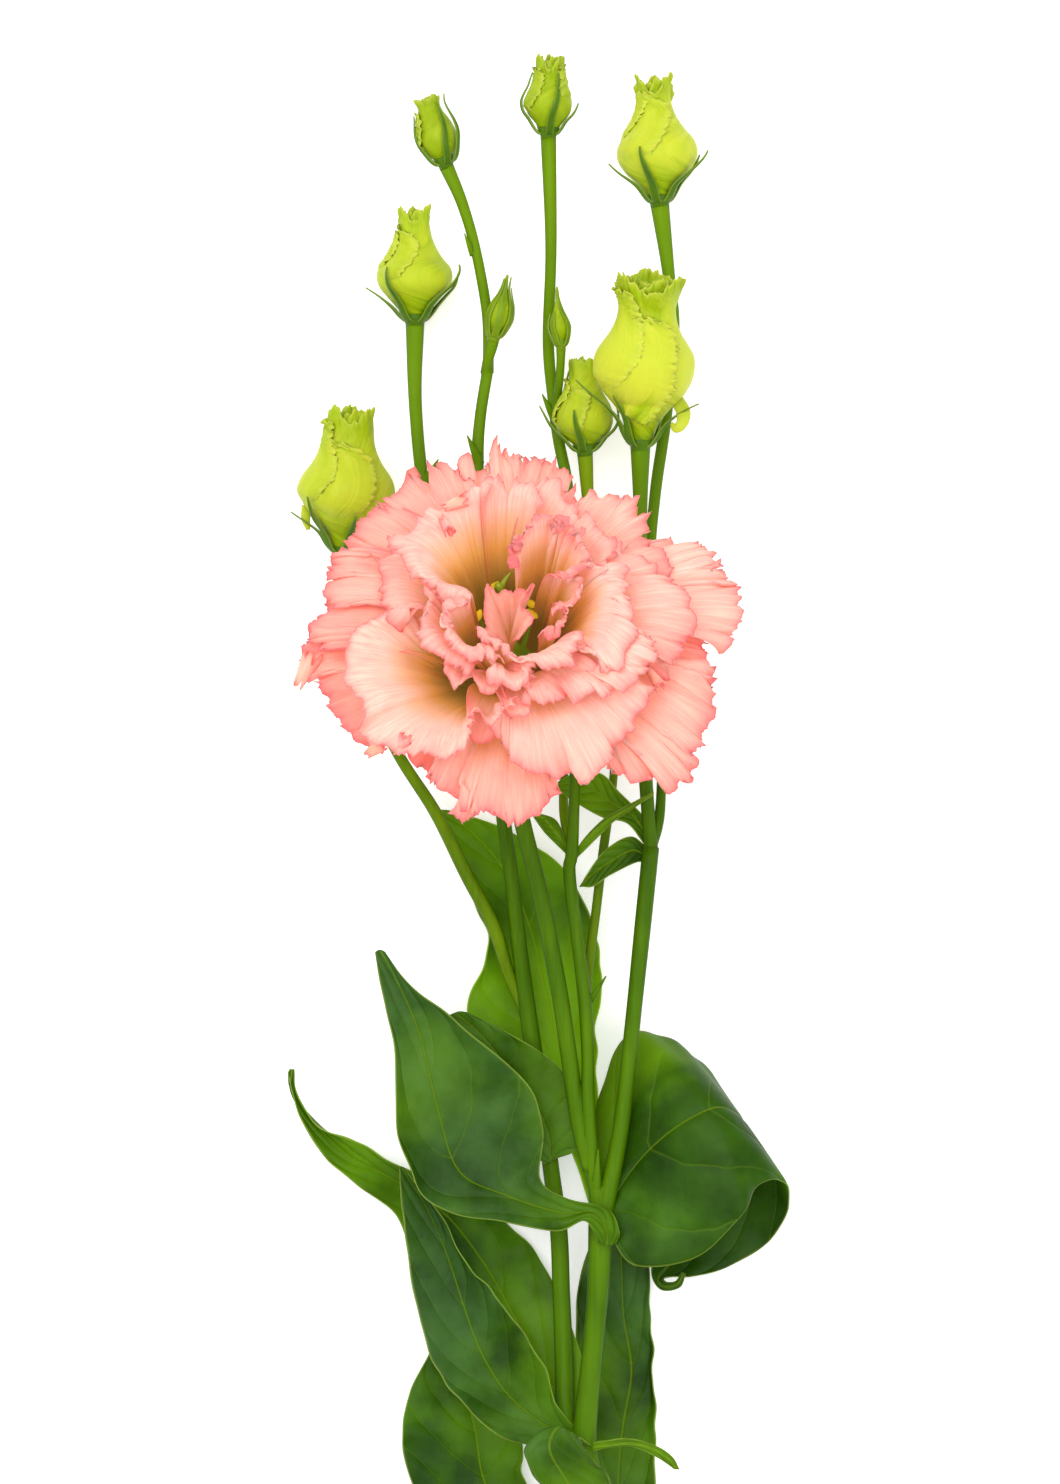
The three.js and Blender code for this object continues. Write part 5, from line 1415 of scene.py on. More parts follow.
def as_seen(x, y, height):
    """The point about the axis, at a height up it, that the camera sees at x, y of the spray."""
    sine, cosine = math.sin(FLOWER_TIP), math.cos(FLOWER_TIP)
    lift = FLOWER_BASE[2] + height * cosine
    for _ in range(2):
        nearer = 1 - (lift - PICTURE_MIDDLE[2]) * MM / CAMERA_DISTANCE
        up = (y * nearer - FLOWER_BASE[1] - height * sine) / cosine
        lift = FLOWER_BASE[2] + height * cosine - up * sine
    return np.stack([x * nearer - FLOWER_BASE[0], up, height], axis=-1)


print("a point 30 mm up the axis lies at", on_flower([0, 0, 30]).round(1))

# %% Petals and their margins
Ring = namedtuple("Ring", "foot throat climb frill")
# radius at foot and at throat in mm, height of the throat as a share of the crest's, and how frilled
RINGS = {
    "under": Ring(5.5, 15.0, 0.22, 1.55),
    "outer": Ring(5.5, 13.0, 0.50, 1.5),
    "middle": Ring(5.0, 12.0, 0.52, 1.15),
    "inner": Ring(4.5, 12.0, 0.56, 1.0),
    "cup": Ring(5.2, 17.0, 0.42, 0.9),
    "small": Ring(4.5, 13.0, 0.6, 0.35),
    "heart": Ring(3.0, 3.6, 0.5, 0.25),
}
Petal = namedtuple("Petal", "bearing ring crest edge pink margin")
# bearing of its foot about the axis in degrees, heights of crest and edge in mm, how pink, and the
# margin clockwise in mm as seen, with a third number where a point stands above or below the edge

PETALS = [
    Petal(146, "outer", 33, 25, 0.8, [
        (-33, 33), (-34.6, 35.5), (-35, 37), (-34.2, 38.1), (-32.7, 38.2), (-32.4, 39.8), (-32.2, 42.2),
        (-31, 43.1), (-29.9, 43.7), (-28.5, 43.4), (-27.2, 45), (-25, 45.5)]),
    Petal(121, "outer", 32, 23, 0.9, [
        (-28.4, 42), (-27.4, 45), (-28.1, 46.2), (-27, 47.4), (-25.6, 48.2), (-24.5, 49.3),
        (-23.3, 49.5), (-22.5, 48.9), (-21.6, 49.7), (-20, 49.9), (-18.5, 49), (-18, 47)]),
    Petal(112, "outer", 33, 24, 0.7, [
        (-21, 47), (-19.6, 49.5), (-18.3, 50.6), (-17, 51.1), (-16.6, 51.6), (-16.4, 52.5),
        (-15.5, 52.7), (-14.9, 52), (-14.8, 51.2), (-14, 51), (-12.8, 50.5), (-11.5, 50.8), (-10, 49)]),
    Petal(96, "outer", 30, 19, 0.6, [
        (-12, 48), (-12.1, 51.5), (-12.3, 53.4), (-11.7, 54), (-10.7, 53.2), (-10, 52.4), (-9.3, 53.2),
        (-9, 54), (-8.4, 54.1), (-8.5, 55, 1), (-7.5, 55.5, 1), (-6.5, 55.9), (-5, 55.6), (-4, 54.9),
        (-3.3, 54.6), (-2.4, 54.2), (-2.8, 53.2), (-2, 52.8), (-1.1, 52), (0, 51)]),
    Petal(72, "outer", 32, 22, 0.9, [
        (-2.5, 49.5), (-1.1, 51.9), (0, 52.7), (1.2, 52.8), (1.7, 52.2), (2.5, 51.8), (3.2, 52.8),
        (3.5, 53.6), (4.5, 53.9), (5.5, 53.6), (5.7, 52.5), (6.9, 52.3), (7.9, 51.2), (8, 50),
        (7.3, 49), (6.2, 48.1), (6, 46.5)]),
    Petal(62, "outer", 34, 27, 0.8, [
        (4, 45), (6.1, 47.8), (7.2, 47.6), (8.4, 47.9), (9.3, 47.1), (9.2, 46), (10.5, 45.2), (11, 43)]),
    Petal(42, "outer", 35, 28, 0.5, [
        (8.6, 43.5), (8.8, 45.9), (9.7, 46.8), (11, 47.6), (12.2, 47.8), (13.2, 46.9), (14.5, 47),
        (15.7, 46.9), (16.5, 46.1), (17, 45.5), (18.2, 45.3), (19.3, 45.7), (20.1, 44.9), (20.3, 43.9),
        (21.3, 43.4), (21.9, 42), (22.9, 41.4), (23.4, 40.2), (22.4, 38.9), (23.4, 37.2), (24.7, 35.7),
        (26.2, 33.5), (27, 31)]),
    Petal(8, "outer", 34, 24, 0.25, [
        (22.5, 34), (24, 36.8), (25, 37.8), (25.6, 39.1), (27.4, 39), (28.6, 37.9), (29.8, 38.4),
        (31.2, 37.6), (32.6, 36.4), (33.8, 36.4), (34.7, 35.6), (34.4, 34.6), (35.5, 34.8),
        (36.1, 34.1), (35.4, 33.2), (36, 32), (37.3, 31.6), (37.2, 30.1), (38.4, 31.1), (39.2, 29.9),
        (39.1, 28.5), (40.2, 27.4), (39.3, 26.1), (40.3, 24.8), (39.8, 22.3), (38.9, 20.4),
        (37.6, 18.9), (36.4, 20), (34.9, 22), (33.8, 23.6), (32, 23.9), (30, 22.5)]),
    Petal(352, "outer", 31, 22, 0.9, [
        (29, 24), (31.5, 22.9), (32.4, 21.7), (32.1, 20.8), (33.7, 20.2), (33.9, 19.4), (32.9, 18.3),
        (33.8, 17.7), (32.8, 16.5), (33.5, 15), (33.3, 13.6), (32.4, 12.8), (30, 11.5), (27.5, 9.5),
        (25, 8)]),
    Petal(322, "outer", 33, 26, 0.7, [
        (25, 12), (29, 12.9), (31.5, 13), (33.2, 12.8), (34.7, 12.8), (34.1, 11.2), (35, 10.4),
        (35.2, 9), (35, 8.3), (36, 7.4), (35.8, 5.8), (35, 4.4), (34.2, 3.8), (33.4, 2.4), (32.4, 1.2),
        (32.9, -0.6), (31.8, -1.5), (30.7, -2), (30, -2.6), (30.6, -3.7), (31.9, -3.6), (31.8, -4.8),
        (31, -5.4), (31.4, -6.7), (29.9, -7.8), (28.3, -7.4), (28, -8.9), (26.6, -9.7), (26.4, -8),
        (24.6, -7.8), (24.1, -6.9), (22.9, -7.2), (20.5, -7.4), (20, -6.3), (18.5, -6), (16.9, -6.2),
        (15.9, -5.6), (15.4, -4.5), (15, -2)]),
    Petal(264, "under", 29, 25, 0.6, [
        (2, -5), (4.3, -7), (5.1, -8.5), (4.6, -9.4), (4.2, -10.8), (3.2, -10.8), (2.9, -12),
        (2.3, -13.5), (0.5, -14.1), (-0.5, -14.6), (-1.2, -15.3), (-2.6, -15.9), (-3.2, -15.2),
        (-4.2, -16.2), (-4.9, -15), (-6, -14.3), (-8, -13.6), (-9.8, -13.5), (-10.9, -14.2),
        (-12.6, -15.2), (-14.2, -14.1), (-13.6, -12.9), (-13.2, -11.4), (-14.5, -10.4), (-15.8, -9.5),
        (-16.8, -9.5), (-17.6, -8.2), (-18.9, -7.7), (-19.5, -7), (-18.8, -6),
        (-17.8, -4.9), (-16.6, -3)]),
    Petal(240, "under", 24, 22, 1.0, [
        (-16, -2), (-17.3, -4.4), (-18.8, -5.8), (-19.5, -5.6), (-20.6, -5), (-21.6, -4.9),
        (-22.6, -3.8), (-22.9, -3), (-24, -1)]),
    Petal(205, "under", 25, 20, 0.9, [
        (-28.5, 0), (-30.3, -0.9), (-32.5, -0.2), (-33.6, 0.8), (-34.1, 1.9), (-35.4, 2.9),
        (-36.4, 4.4), (-37.2, 4.7), (-38, 6), (-38.8, 7.1), (-38.4, 8.6), (-39.5, 9.6), (-40.2, 10.4),
        (-40.1, 11.4), (-41, 12), (-42.3, 11.4), (-43, 12.4), (-43.8, 14.4), (-43.7, 16), (-42.6, 17.6),
        (-41, 17.2), (-39, 17)]),
    Petal(185, "outer", 33, 24, 1.0, [
        (-38, 17), (-40.6, 17.8), (-42.2, 18.7), (-42.6, 19.8), (-41.9, 20.6), (-40.4, 20.4),
        (-41.7, 21.3), (-41.3, 22.1), (-39.9, 22.8), (-39.6, 23.5), (-38.9, 24.3), (-39.1, 25.6),
        (-39.7, 26.6), (-38, 27), (-35, 28)]),
    Petal(163, "outer", 35, 27, 0.75, [
        (-28.5, 26), (-30, 27.3), (-31.6, 28.1), (-33.3, 27), (-34.4, 26), (-35.3, 26.3), (-36, 25.4),
        (-37.2, 26), (-38.9, 27.4), (-39.2, 28.7), (-38.4, 30), (-37.3, 30.6), (-36.6, 31.2),
        (-38, 32.1), (-38.1, 33), (-38.7, 34), (-38.5, 35.2), (-38, 36.1), (-36.4, 35.6),
        (-35, 35.6), (-33.5, 36.5)]),
    Petal(166, "middle", 39, 32, 0.4, [
        (-22, 26), (-24, 24.6), (-26, 23.6), (-27.3, 24.4), (-28.2, 26.3), (-28.6, 27.9), (-29.1, 29.4),
        (-28.4, 31.4), (-29, 33), (-28.3, 34.2), (-28.1, 35.4), (-26.5, 36), (-25, 37)]),
    Petal(228, "cup", 30, 33, 0.0, [
        (-2.9, 9, 8), (-3.8, 7.4, 8), (-4.6, 5.4, 8), (-6.2, 4.2, 8), (-8, 4.1, 7), (-9.2, 4.9, 6),
        (-10.1, 5.4, 5), (-10.6, 4.4, 3), (-10.9, 2.9, 1), (-11.3, 1), (-12.2, -0.5), (-13.4, -1.2),
        (-15, -2.2), (-17, -2.7), (-19.2, -3),
        (-21.4, -2.6), (-23.2, -2), (-25.5, -2.3, -1), (-27.4, -0.8), (-29.3, -0.2), (-31, 0.6),
        (-32.6, 2.2, -1.5), (-31.7, 4.2, 0.5), (-31.4, 6), (-32.4, 8), (-34, 9.5), (-35, 11.2),
        (-35.6, 12.3), (-35.2, 14.5), (-35.3, 16), (-34.9, 17.6), (-34.2, 19), (-33.8, 20.7),
        (-32.4, 22), (-30.5, 23.2), (-28, 24.6), (-25.5, 25.8), (-23.5, 26)]),
    Petal(292, "middle", 40, 33, 0.3, [
        (17, 13), (19, 13), (21, 12.4), (22.1, 10.8), (22, 9.6), (22.7, 8), (21.8, 7), (21.5, 6.2),
        (20.1, 5.2), (20, 3.4), (20.1, 1.9), (18.6, 1.4), (17.8, 0.3), (16.5, -0.2), (15.6, -1.2),
        (15.4, -3.2), (14.3, -4.5), (13.2, -5.6), (12, -6.8), (11.2, -7.8), (10, -8), (9, -7.7),
        (8.6, -6.8), (8, -6.2), (6.8, -6.2), (5.6, -7.2), (4.2, -6.7), (3.3, -6), (1.5, -6.1),
        (0, -5.7), (-1.5, -5), (-3, -3.9), (-4.1, -2.8), (-4.6, -1.6), (-5.6, -0.2), (-5.8, 1.5),
        (-6.1, 3.6), (-4.5, 5)]),
    Petal(315, "middle", 44, 38, 0.1, [
        (17, 21), (19.5, 20), (21, 20.9), (22.8, 20.9), (23.4, 20.1), (22.9, 18.8), (23.2, 17.3),
        (23.8, 15.5), (22.6, 14.7), (21.9, 13.2), (20.7, 12.6), (20.3, 11.4), (18.5, 10.2), (17.8, 9.2),
        (16.2, 9.5), (14.2, 8.7), (12.8, 9.6), (10.5, 8.5), (8, 7)]),
    Petal(355, "middle", 41, 33, 0.45, [
        (15, 36.8), (16.5, 36.8), (18.2, 35.8), (19.3, 36.1), (20.3, 35.6), (21.6, 34.6), (22.9, 33.5),
        (24, 33.2), (25.2, 32.6), (26.5, 32.2), (27, 31), (27.6, 30), (28.8, 29.2), (29.4, 28.2),
        (29.9, 26.5), (30.1, 24.6), (31.6, 23.6), (31.9, 22.3), (31.6, 20.3), (30.3, 19.6),
        (29.6, 18.7), (28.6, 17.8), (28.3, 16), (27.3, 15.3), (26.2, 15.3), (25.3, 15.9), (24.8, 17.6),
        (24, 19.2), (22.8, 20), (21, 20.3)]),
    Petal(30, "middle", 42, 36, 0.3, [
        (8.5, 41), (9.8, 41.9), (11.4, 42.3), (12.5, 41.8), (12.8, 41), (14.2, 40.2), (15.2, 38.8),
        (16.2, 37.7), (16.1, 36.3), (15.2, 35), (14, 33.5)]),
    Petal(258, "small", 29, 26, 0.3, [
        (-6.2, 3.6), (-7, 2), (-7.6, 0.2), (-9.5, -0.3), (-11, 0.2), (-12, 2), (-12, 4)]),
    Petal(272, "small", 36, 39, 0.2, [
        (-1.6, 8.6), (-1.2, 7.3), (0, 6.7), (0.3, 5.6), (-0.6, 4.9), (-2.5, 5), (-4.2, 5.5), (-5, 7)]),
    Petal(70, "inner", 42, 36, 0.3, [
        (-1, 47), (0.4, 49.3), (2.2, 49.8), (4.6, 49.9), (5.9, 49.3), (6.4, 47.6), (7.6, 45.4),
        (8.8, 44), (9.8, 42.4), (10, 40.5)]),
    Petal(95, "inner", 45, 39, 0.25, [
        (-10, 47), (-8.5, 48.9), (-7, 49.6), (-5.8, 49.7), (-4.9, 49.1), (-3.9, 48.9), (-2.6, 49.7),
        (-0.8, 49.3), (0.6, 49.4), (1.6, 48), (2, 45)]),
    Petal(145, "inner", 47, 41, 0.15, [
        (-11.6, 25), (-11.6, 26.2), (-13, 27), (-15, 27.2), (-16.5, 27.5), (-18, 28.6), (-20, 30),
        (-21.2, 30.3), (-22.8, 31.6), (-24.2, 33.8), (-24.8, 36), (-26.3, 37.5), (-25.8, 38.6),
        (-24, 39.9), (-22.3, 40.6), (-20.7, 42.1), (-20, 43.8), (-18.5, 44.1), (-17, 44.5), (-14, 46.5),
        (-11.8, 47.6), (-11, 48.3), (-9, 48.8), (-8, 48)]),
    Petal(350, "inner", 47, 40, 0.15, [
        (10.5, 33.5), (12.3, 33.6), (14, 33), (15.5, 32.4), (17.5, 32.4), (17.6, 30.9), (18.7, 29.9),
        (19, 28.4), (19.4, 27.4), (19.2, 26), (19.9, 24.6), (20, 23.2), (19.4, 22.5), (20, 21.8),
        (19.9, 20.4), (18.6, 18.2), (18.1, 16.8), (18.1, 15), (17.2, 13.9), (15.6, 13.2), (14.4, 13.5),
        (13.7, 14.6), (12.5, 15.5), (11, 17)]),
    Petal(236, "small", 37, 34, 0.2, [
        (-13, 13), (-13.9, 10.6), (-14.4, 9.7), (-15.4, 11.5), (-16.4, 13.6), (-16, 15)]),
    Petal(248, "small", 38, 35, 0.3, [
        (-5.5, 11), (-6.2, 9.6), (-7.3, 8.9), (-9.2, 9.4), (-10.6, 11.4), (-11.5, 13.5), (-12, 15)]),
    Petal(215, "inner", 43, 38, 0.35, [
        (-11, 13), (-12, 12.6), (-13.6, 14), (-15, 14.8), (-16.2, 15.6), (-18, 16.5), (-19.1, 17.4),
        (-20.2, 18.7), (-20.7, 20), (-21.3, 22.2), (-21.8, 23.8), (-20.8, 24.4), (-20.2, 26.5),
        (-19.6, 28.6), (-18.5, 28.3), (-17, 27)]),
    Petal(284, "inner", 42, 37, 0.35, [
        (12.5, 14.5), (12.2, 12.9), (11, 12.2), (9.8, 10.9), (8.4, 9.6), (7, 8.7), (6, 8.3), (5.4, 7.6),
        (4, 7.6), (3, 7.1), (1.9, 7.1), (1.2, 7.7), (0.2, 7.8), (-0.2, 8.8), (0, 10.2), (-0.1, 12),
        (0.2, 13.3)]),
    Petal(258, "inner", 46, 40, 0.2, [
        (0.5, 14.5), (-0.8, 12.7), (-0.6, 11), (-1.3, 9.7), (-3, 9.3), (-4.1, 10), (-4.6, 10.8), (-6, 11),
        (-7, 11.9), (-6.5, 13), (-7, 14), (-6.6, 15.3), (-7, 17)]),
    Petal(222, "inner", 47, 42, 0.15, [
        (-5, 14.8), (-6.3, 16), (-7.4, 16.2), (-8.7, 17), (-9.5, 15.8), (-11, 15.4), (-12, 15.9),
        (-13.2, 16.5), (-14.5, 17.6), (-15.7, 18.6), (-16.1, 19.4), (-16, 21), (-16.6, 22.6),
        (-16.1, 24.3), (-15.2, 25.8), (-13.5, 26.4), (-12, 26)]),
    Petal(268, "inner", 49, 44, 0.2, [
        (10.5, 21), (10.2, 19.4), (8.8, 18), (8.5, 16.9), (8, 15.5), (7.2, 14.9), (6, 14.5), (4.8, 14.2),
        (3, 13.9), (1.5, 14.3), (0.8, 14.8), (-0.5, 14.7), (-1.6, 14.8), (-2.7, 15.3), (-3.6, 16.4),
        (-4.6, 17.3), (-6.5, 18.2), (-8.4, 19.3), (-10.4, 21.5)]),
    Petal(20, "inner", 43, 41, 0.12, [
        (5, 31), (8.2, 31.3), (9.6, 30.2), (10, 28.6), (9.3, 27), (8, 25.9), (6.9, 25.7), (5.6, 25.2),
        (4.1, 24)]),
    Petal(340, "inner", 42, 40, 0.3, [
        (5, 25.2), (6.6, 25.2), (6.9, 24), (6.4, 22), (5.5, 21.7), (5.2, 20.5), (4.5, 19.6), (3.4, 20.2),
        (2.1, 21)]),
    Petal(48, "inner", 45, 44, 0.1, [
        (-2.8, 33.5), (-3.4, 35), (-4.1, 37.3), (-3.2, 36.6), (-2.6, 37.4), (-2.7, 38.7), (-1.5, 39.6),
        (-0.3, 40.8), (0.2, 42.2), (1.8, 43), (3.3, 43), (4.4, 42.7), (5.1, 41.8), (4.2, 41), (5.2, 40.5),
        (5.6, 41.6), (6.3, 42.2), (7, 41.6), (6.7, 40.8), (8, 41.2), (8.6, 40.5), (8.3, 39.8), (7.4, 39.2),
        (9, 39.5), (10.1, 39.6), (9.7, 38.2), (10.6, 37.2), (11.4, 36.3), (11.4, 35.2), (11, 34.4),
        (11.4, 33.8), (10, 32.8), (8.2, 31.4), (6.2, 30.8)]),
    Petal(268, "heart", 27, 38, 0.0, [
        (-7.8, 20), (-8.6, 22.5), (-8.8, 25), (-8.6, 27.5), (-8.4, 29.4), (-8.1, 30.2), (-7.3, 29.4),
        (-6.6, 28.6), (-6, 28.3), (-5.3, 28.8), (-4.5, 29), (-3.8, 28.6), (-3.2, 28.2), (-2.5, 28.7),
        (-1.5, 29), (-0.6, 28.6), (-0.1, 29.5), (0.6, 30), (0.2, 29), (-0.4, 28), (-1.4, 26.8),
        (-1.2, 25.6), (0, 25.1), (0.5, 24.2), (0.4, 23.2), (-0.4, 22), (-1.3, 20.8), (-2.2, 19.5)]),
]
print("petals:", len(PETALS))

# %% The margin as an even line
MARGIN_STEP = 0.34  # mm between columns of a petal's grid


def margin_line(petal):
    """The petal's margin about the axis, evenly spaced, and how far round it each point lies."""
    rows = np.array([(*point, 0)[:3] for point in petal.margin], float)
    knots = as_seen(rows[:, 0], rows[:, 1], petal.edge + rows[:, 2])
    fine = through(knots, np.linspace(0, 1, 1500))
    far = np.concatenate([[0], np.cumsum(np.linalg.norm(np.diff(fine, axis=0), axis=1))])
    round_mm = np.linspace(0, far[-1], round(far[-1] / MARGIN_STEP) + 1)
    line = np.stack([np.interp(round_mm, far, fine[:, axis]) for axis in range(3)], axis=-1)
    return line, round_mm


print("margin of the first petal:", round(margin_line(PETALS[0])[1][-1]), "mm long")

# %% A blade from foot to margin
FOOT_TURN = 29  # degrees that a petal's foot spreads to each side
BLADE_ROWS = 0.80  # mm between rows, on the blade
RIM_ROWS = 0.30  # mm between rows, by the margin
RIM_DEEP = 0.22  # share of the length that counts as margin
THROAT_SHARE = 0.8  # the throat stays this far inside the margin
CREST_SHARE = 0.38  # how far out the crest stands, between throat and margin


def turned_out(bearing, radius, height):
    """Points at bearings in degrees about the axis."""
    angle = np.radians(bearing)
    level = np.full(angle.shape, float(height))
    return np.stack([radius * np.cos(angle), radius * np.sin(angle), level], axis=-1)


def blade(petal, line):
    """A grid of points from the petal's foot, row 0, to its margin, the last row."""
    ring = RINGS[petal.ring]
    bearing = petal.bearing - FOOT_TURN * np.linspace(-1, 1, len(line))
    foot = turned_out(bearing, ring.foot, 0)
    widest = np.linalg.norm(line[:, :2], axis=1) * THROAT_SHARE
    throat = turned_out(bearing, np.minimum(ring.throat, widest), petal.crest * ring.climb)
    crest = mix(throat, line, CREST_SHARE)
    crest[:, 2] = petal.crest
    length = np.linalg.norm(line - throat, axis=1).max() + petal.crest * ring.climb
    body = np.linspace(0, 1 - RIM_DEEP, round((1 - RIM_DEEP) * length / BLADE_ROWS), endpoint=False)
    margin = np.linspace(1 - RIM_DEEP, 1, round(RIM_DEEP * length / RIM_ROWS) + 1)
    t = np.concatenate([body, margin])[:, None, None]
    s = 1 - t
    return s**3 * foot + 3 * s * s * t * throat + 3 * s * t * t * crest + t**3 * line


def to_margin(grid):
    """How far each point of a petal lies from the margin, in mm."""
    steps = np.linalg.norm(np.diff(grid, axis=0), axis=-1)
    ahead = np.concatenate([np.cumsum(steps[::-1], axis=0)[::-1], np.zeros((1, grid.shape[1]))])
    sides = [np.linalg.norm(grid - grid[:, side : side + 1], axis=-1) for side in (0, grid.shape[1] - 1)]
    return np.minimum(ahead, np.minimum(*sides) + 0.3)


print("rows and columns of the first petal:", blade(PETALS[0], margin_line(PETALS[0])[0]).shape[:2])

# %% A ruffled petal
PETAL_THICK = 0.36
PETAL_RIM = 0.15
BROAD_WAVE = 0.9  # heights of the three kinds of wave in mm, from broad to fine
FOLD_WAVE = 0.95
FRILL = 0.72
FRILL_LONG = 1.9  # mm from one frill of the margin to the next but one
NOTCH = 0.5  # mm that the margin runs in and out


def ruffled_petal(number, petal):
    line, round_mm = margin_line(petal)
    grid = blade(petal, line)
    rim_mm = to_margin(grid)
    seed = 1000 + 20 * number
    growing = smooth(np.linspace(0, 1, len(grid)) / 0.7)[:, None]
    # folds bend as they run in from the margin
    bent_mm = round_mm + 0.5 * rim_mm * wobble(round_mm, 9.0, seed + 5)
    frill = wobble(bent_mm, FRILL_LONG, seed + 1)
    gathered = RINGS[petal.ring].frill * mix(0.25, 1.15, smooth(0.5 + wobble(round_mm, 17.0, seed + 4)))
    broad = BROAD_WAVE * wobble(round_mm, 15.0, seed) * np.exp(-rim_mm / 12.0)
    folds = FOLD_WAVE * gathered * wobble(bent_mm, 6.0, seed + 2) * np.exp(-rim_mm / 3.2)
    frills = FRILL * gathered * np.sign(frill) * np.abs(frill) ** 0.8 * np.exp(-rim_mm / 1.1)
    out = growing * (broad * RINGS[petal.ring].frill + folds + frills)
    # the margin runs in to a notch wherever a frill passes from up to down
    onward = unit(np.gradient(grid, axis=0))
    ragged = NOTCH * gathered * (np.abs(frill) ** 0.5 - 0.6) * np.exp(-rim_mm / 1.2)
    grid = grid + facing(grid) * out[..., None] + onward * (growing * ragged)[..., None]
    along = np.broadcast_to(np.linspace(0, 1, len(grid))[:, None], rim_mm.shape)
    marks = {"along": along, "across": np.broadcast_to(round_mm, rim_mm.shape), "rim_mm": rim_mm}
    marks |= {"tone": np.full(rim_mm.shape, number), "pink": np.full(rim_mm.shape, petal.pink)}
    return sheet(on_flower(grid), mix(PETAL_RIM, PETAL_THICK, smooth(rim_mm / 2.0)), marks)


petals = [
    mesh_object(f"flower_petal_{n + 1:02d}", *ruffled_petal(n, petal)) for n, petal in enumerate(PETALS)
]
print("faces of all petals:", sum(len(made.data.polygons) for made in petals))
print("faces of the largest:", max(len(made.data.polygons) for made in petals))

# %% [markdown]
# ## Curled tips
#
# Here and there a margin rolls up on itself, and the roll shows the petal's tan back.  Bending the
# petal's own grid so far would fold it into itself.  Each roll is a small sheet of its own, wound round
# a short line where the picture shows one, and it winds inwards so that its layers stay apart.

# %% Small rolls on the margins
Curl = namedtuple("Curl", "start end height radius turns body")
# ends of the line as seen and their height, radius in mm, turns, and how far from the throat's colour
CURLS = [
    Curl((-16.2, 44.6), (-12.4, 46.2), 42, 1.2, 0.8, 0.44),
    Curl((-16.6, 42.4), (-14.9, 39.8), 42, 1.1, 0.9, 0.5),
    Curl((-44.2, 10.8), (-41.6, 16.2), 20, 1.5, 0.7, 0.46),
    Curl((-31.0, -2.4), (-28.2, -0.2), 21, 1.3, 0.7, 0.45),
    Curl((-25.8, -1.8), (-23.6, 1.0), 31, 1.2, 0.7, 0.52),
    Curl((22.6, 13.8), (25.0, 10.4), 31, 1.2, 0.7, 0.48),
]
CURL_PINK = 0.6


def curled_tip(number, curl):
    low, high = as_seen(*curl.start, curl.height), as_seen(*curl.end, curl.height + 1)
    line = unit(high - low)
    side = unit(np.cross(line, [0, 0, 1]))
    s = np.linspace(0, 1, 24)[:, None]
    wound = np.linspace(0, 1, 36)[None]
    turn = 2 * np.pi * curl.turns * wound
    uneven = 1 + 0.2 * wobble(turn, 2.5, number)
    radius = curl.radius * mix(0.6, 1.25, s) * mix(1.0, 0.5, wound) * uneven
    ragged = s + 0.3 * (s - 0.4) * wobble(turn * curl.radius, 2.0, number + 1)
    round_it = np.cos(turn)[..., None] * side + np.sin(turn)[..., None] * np.cross(side, line)
    grid = mix(low, high, ragged[..., None]) + radius[..., None] * round_it
    far = np.linalg.norm(high - low)
    rim_mm = np.minimum(np.minimum(s, 1 - s) * far, np.minimum(wound, 1 - wound) * curl.radius * 4)
    marks = {"along": np.full(rim_mm.shape, curl.body), "across": turn * radius, "rim_mm": rim_mm}
    marks |= {"tone": np.full(rim_mm.shape, number), "pink": np.full(rim_mm.shape, CURL_PINK)}
    return sheet(on_flower(grid), PETAL_RIM * 1.4, marks)


curls = [mesh_object(f"flower_curl_{n + 1}", *curled_tip(n, curl)) for n, curl in enumerate(CURLS)]
print("curled tips:", len(curls))

# %% [markdown]
# ## Petal colour
#
# A petal is olive deep in the throat, warm cream on its body, salmon towards the margin and deep pink
# on its very edge.  Fine veins fan out from the foot.  The blade is thin, so light goes in on one side
# and glows on the other: a little subsurface light gives that glow, and stays cheap on a sheet this
# thin.  Light that has come through several petals is warm, and a faint emission stands for it.

# %% Petal finish
THROAT_OLIVE = colour(128, 122, 6)
THROAT_GOLD = colour(226, 184, 100)
PETAL_CREAM = colour(246, 216, 201)
PETAL_SALMON = colour(239, 162, 146)
PETAL_ROSE = colour(230, 116, 120)
PETAL_PINK = colour(206, 66, 86)
PETAL_GLOW = colour(230, 128, 84)  # light that came through other petals first
VEINS_PER_MM = 1.1


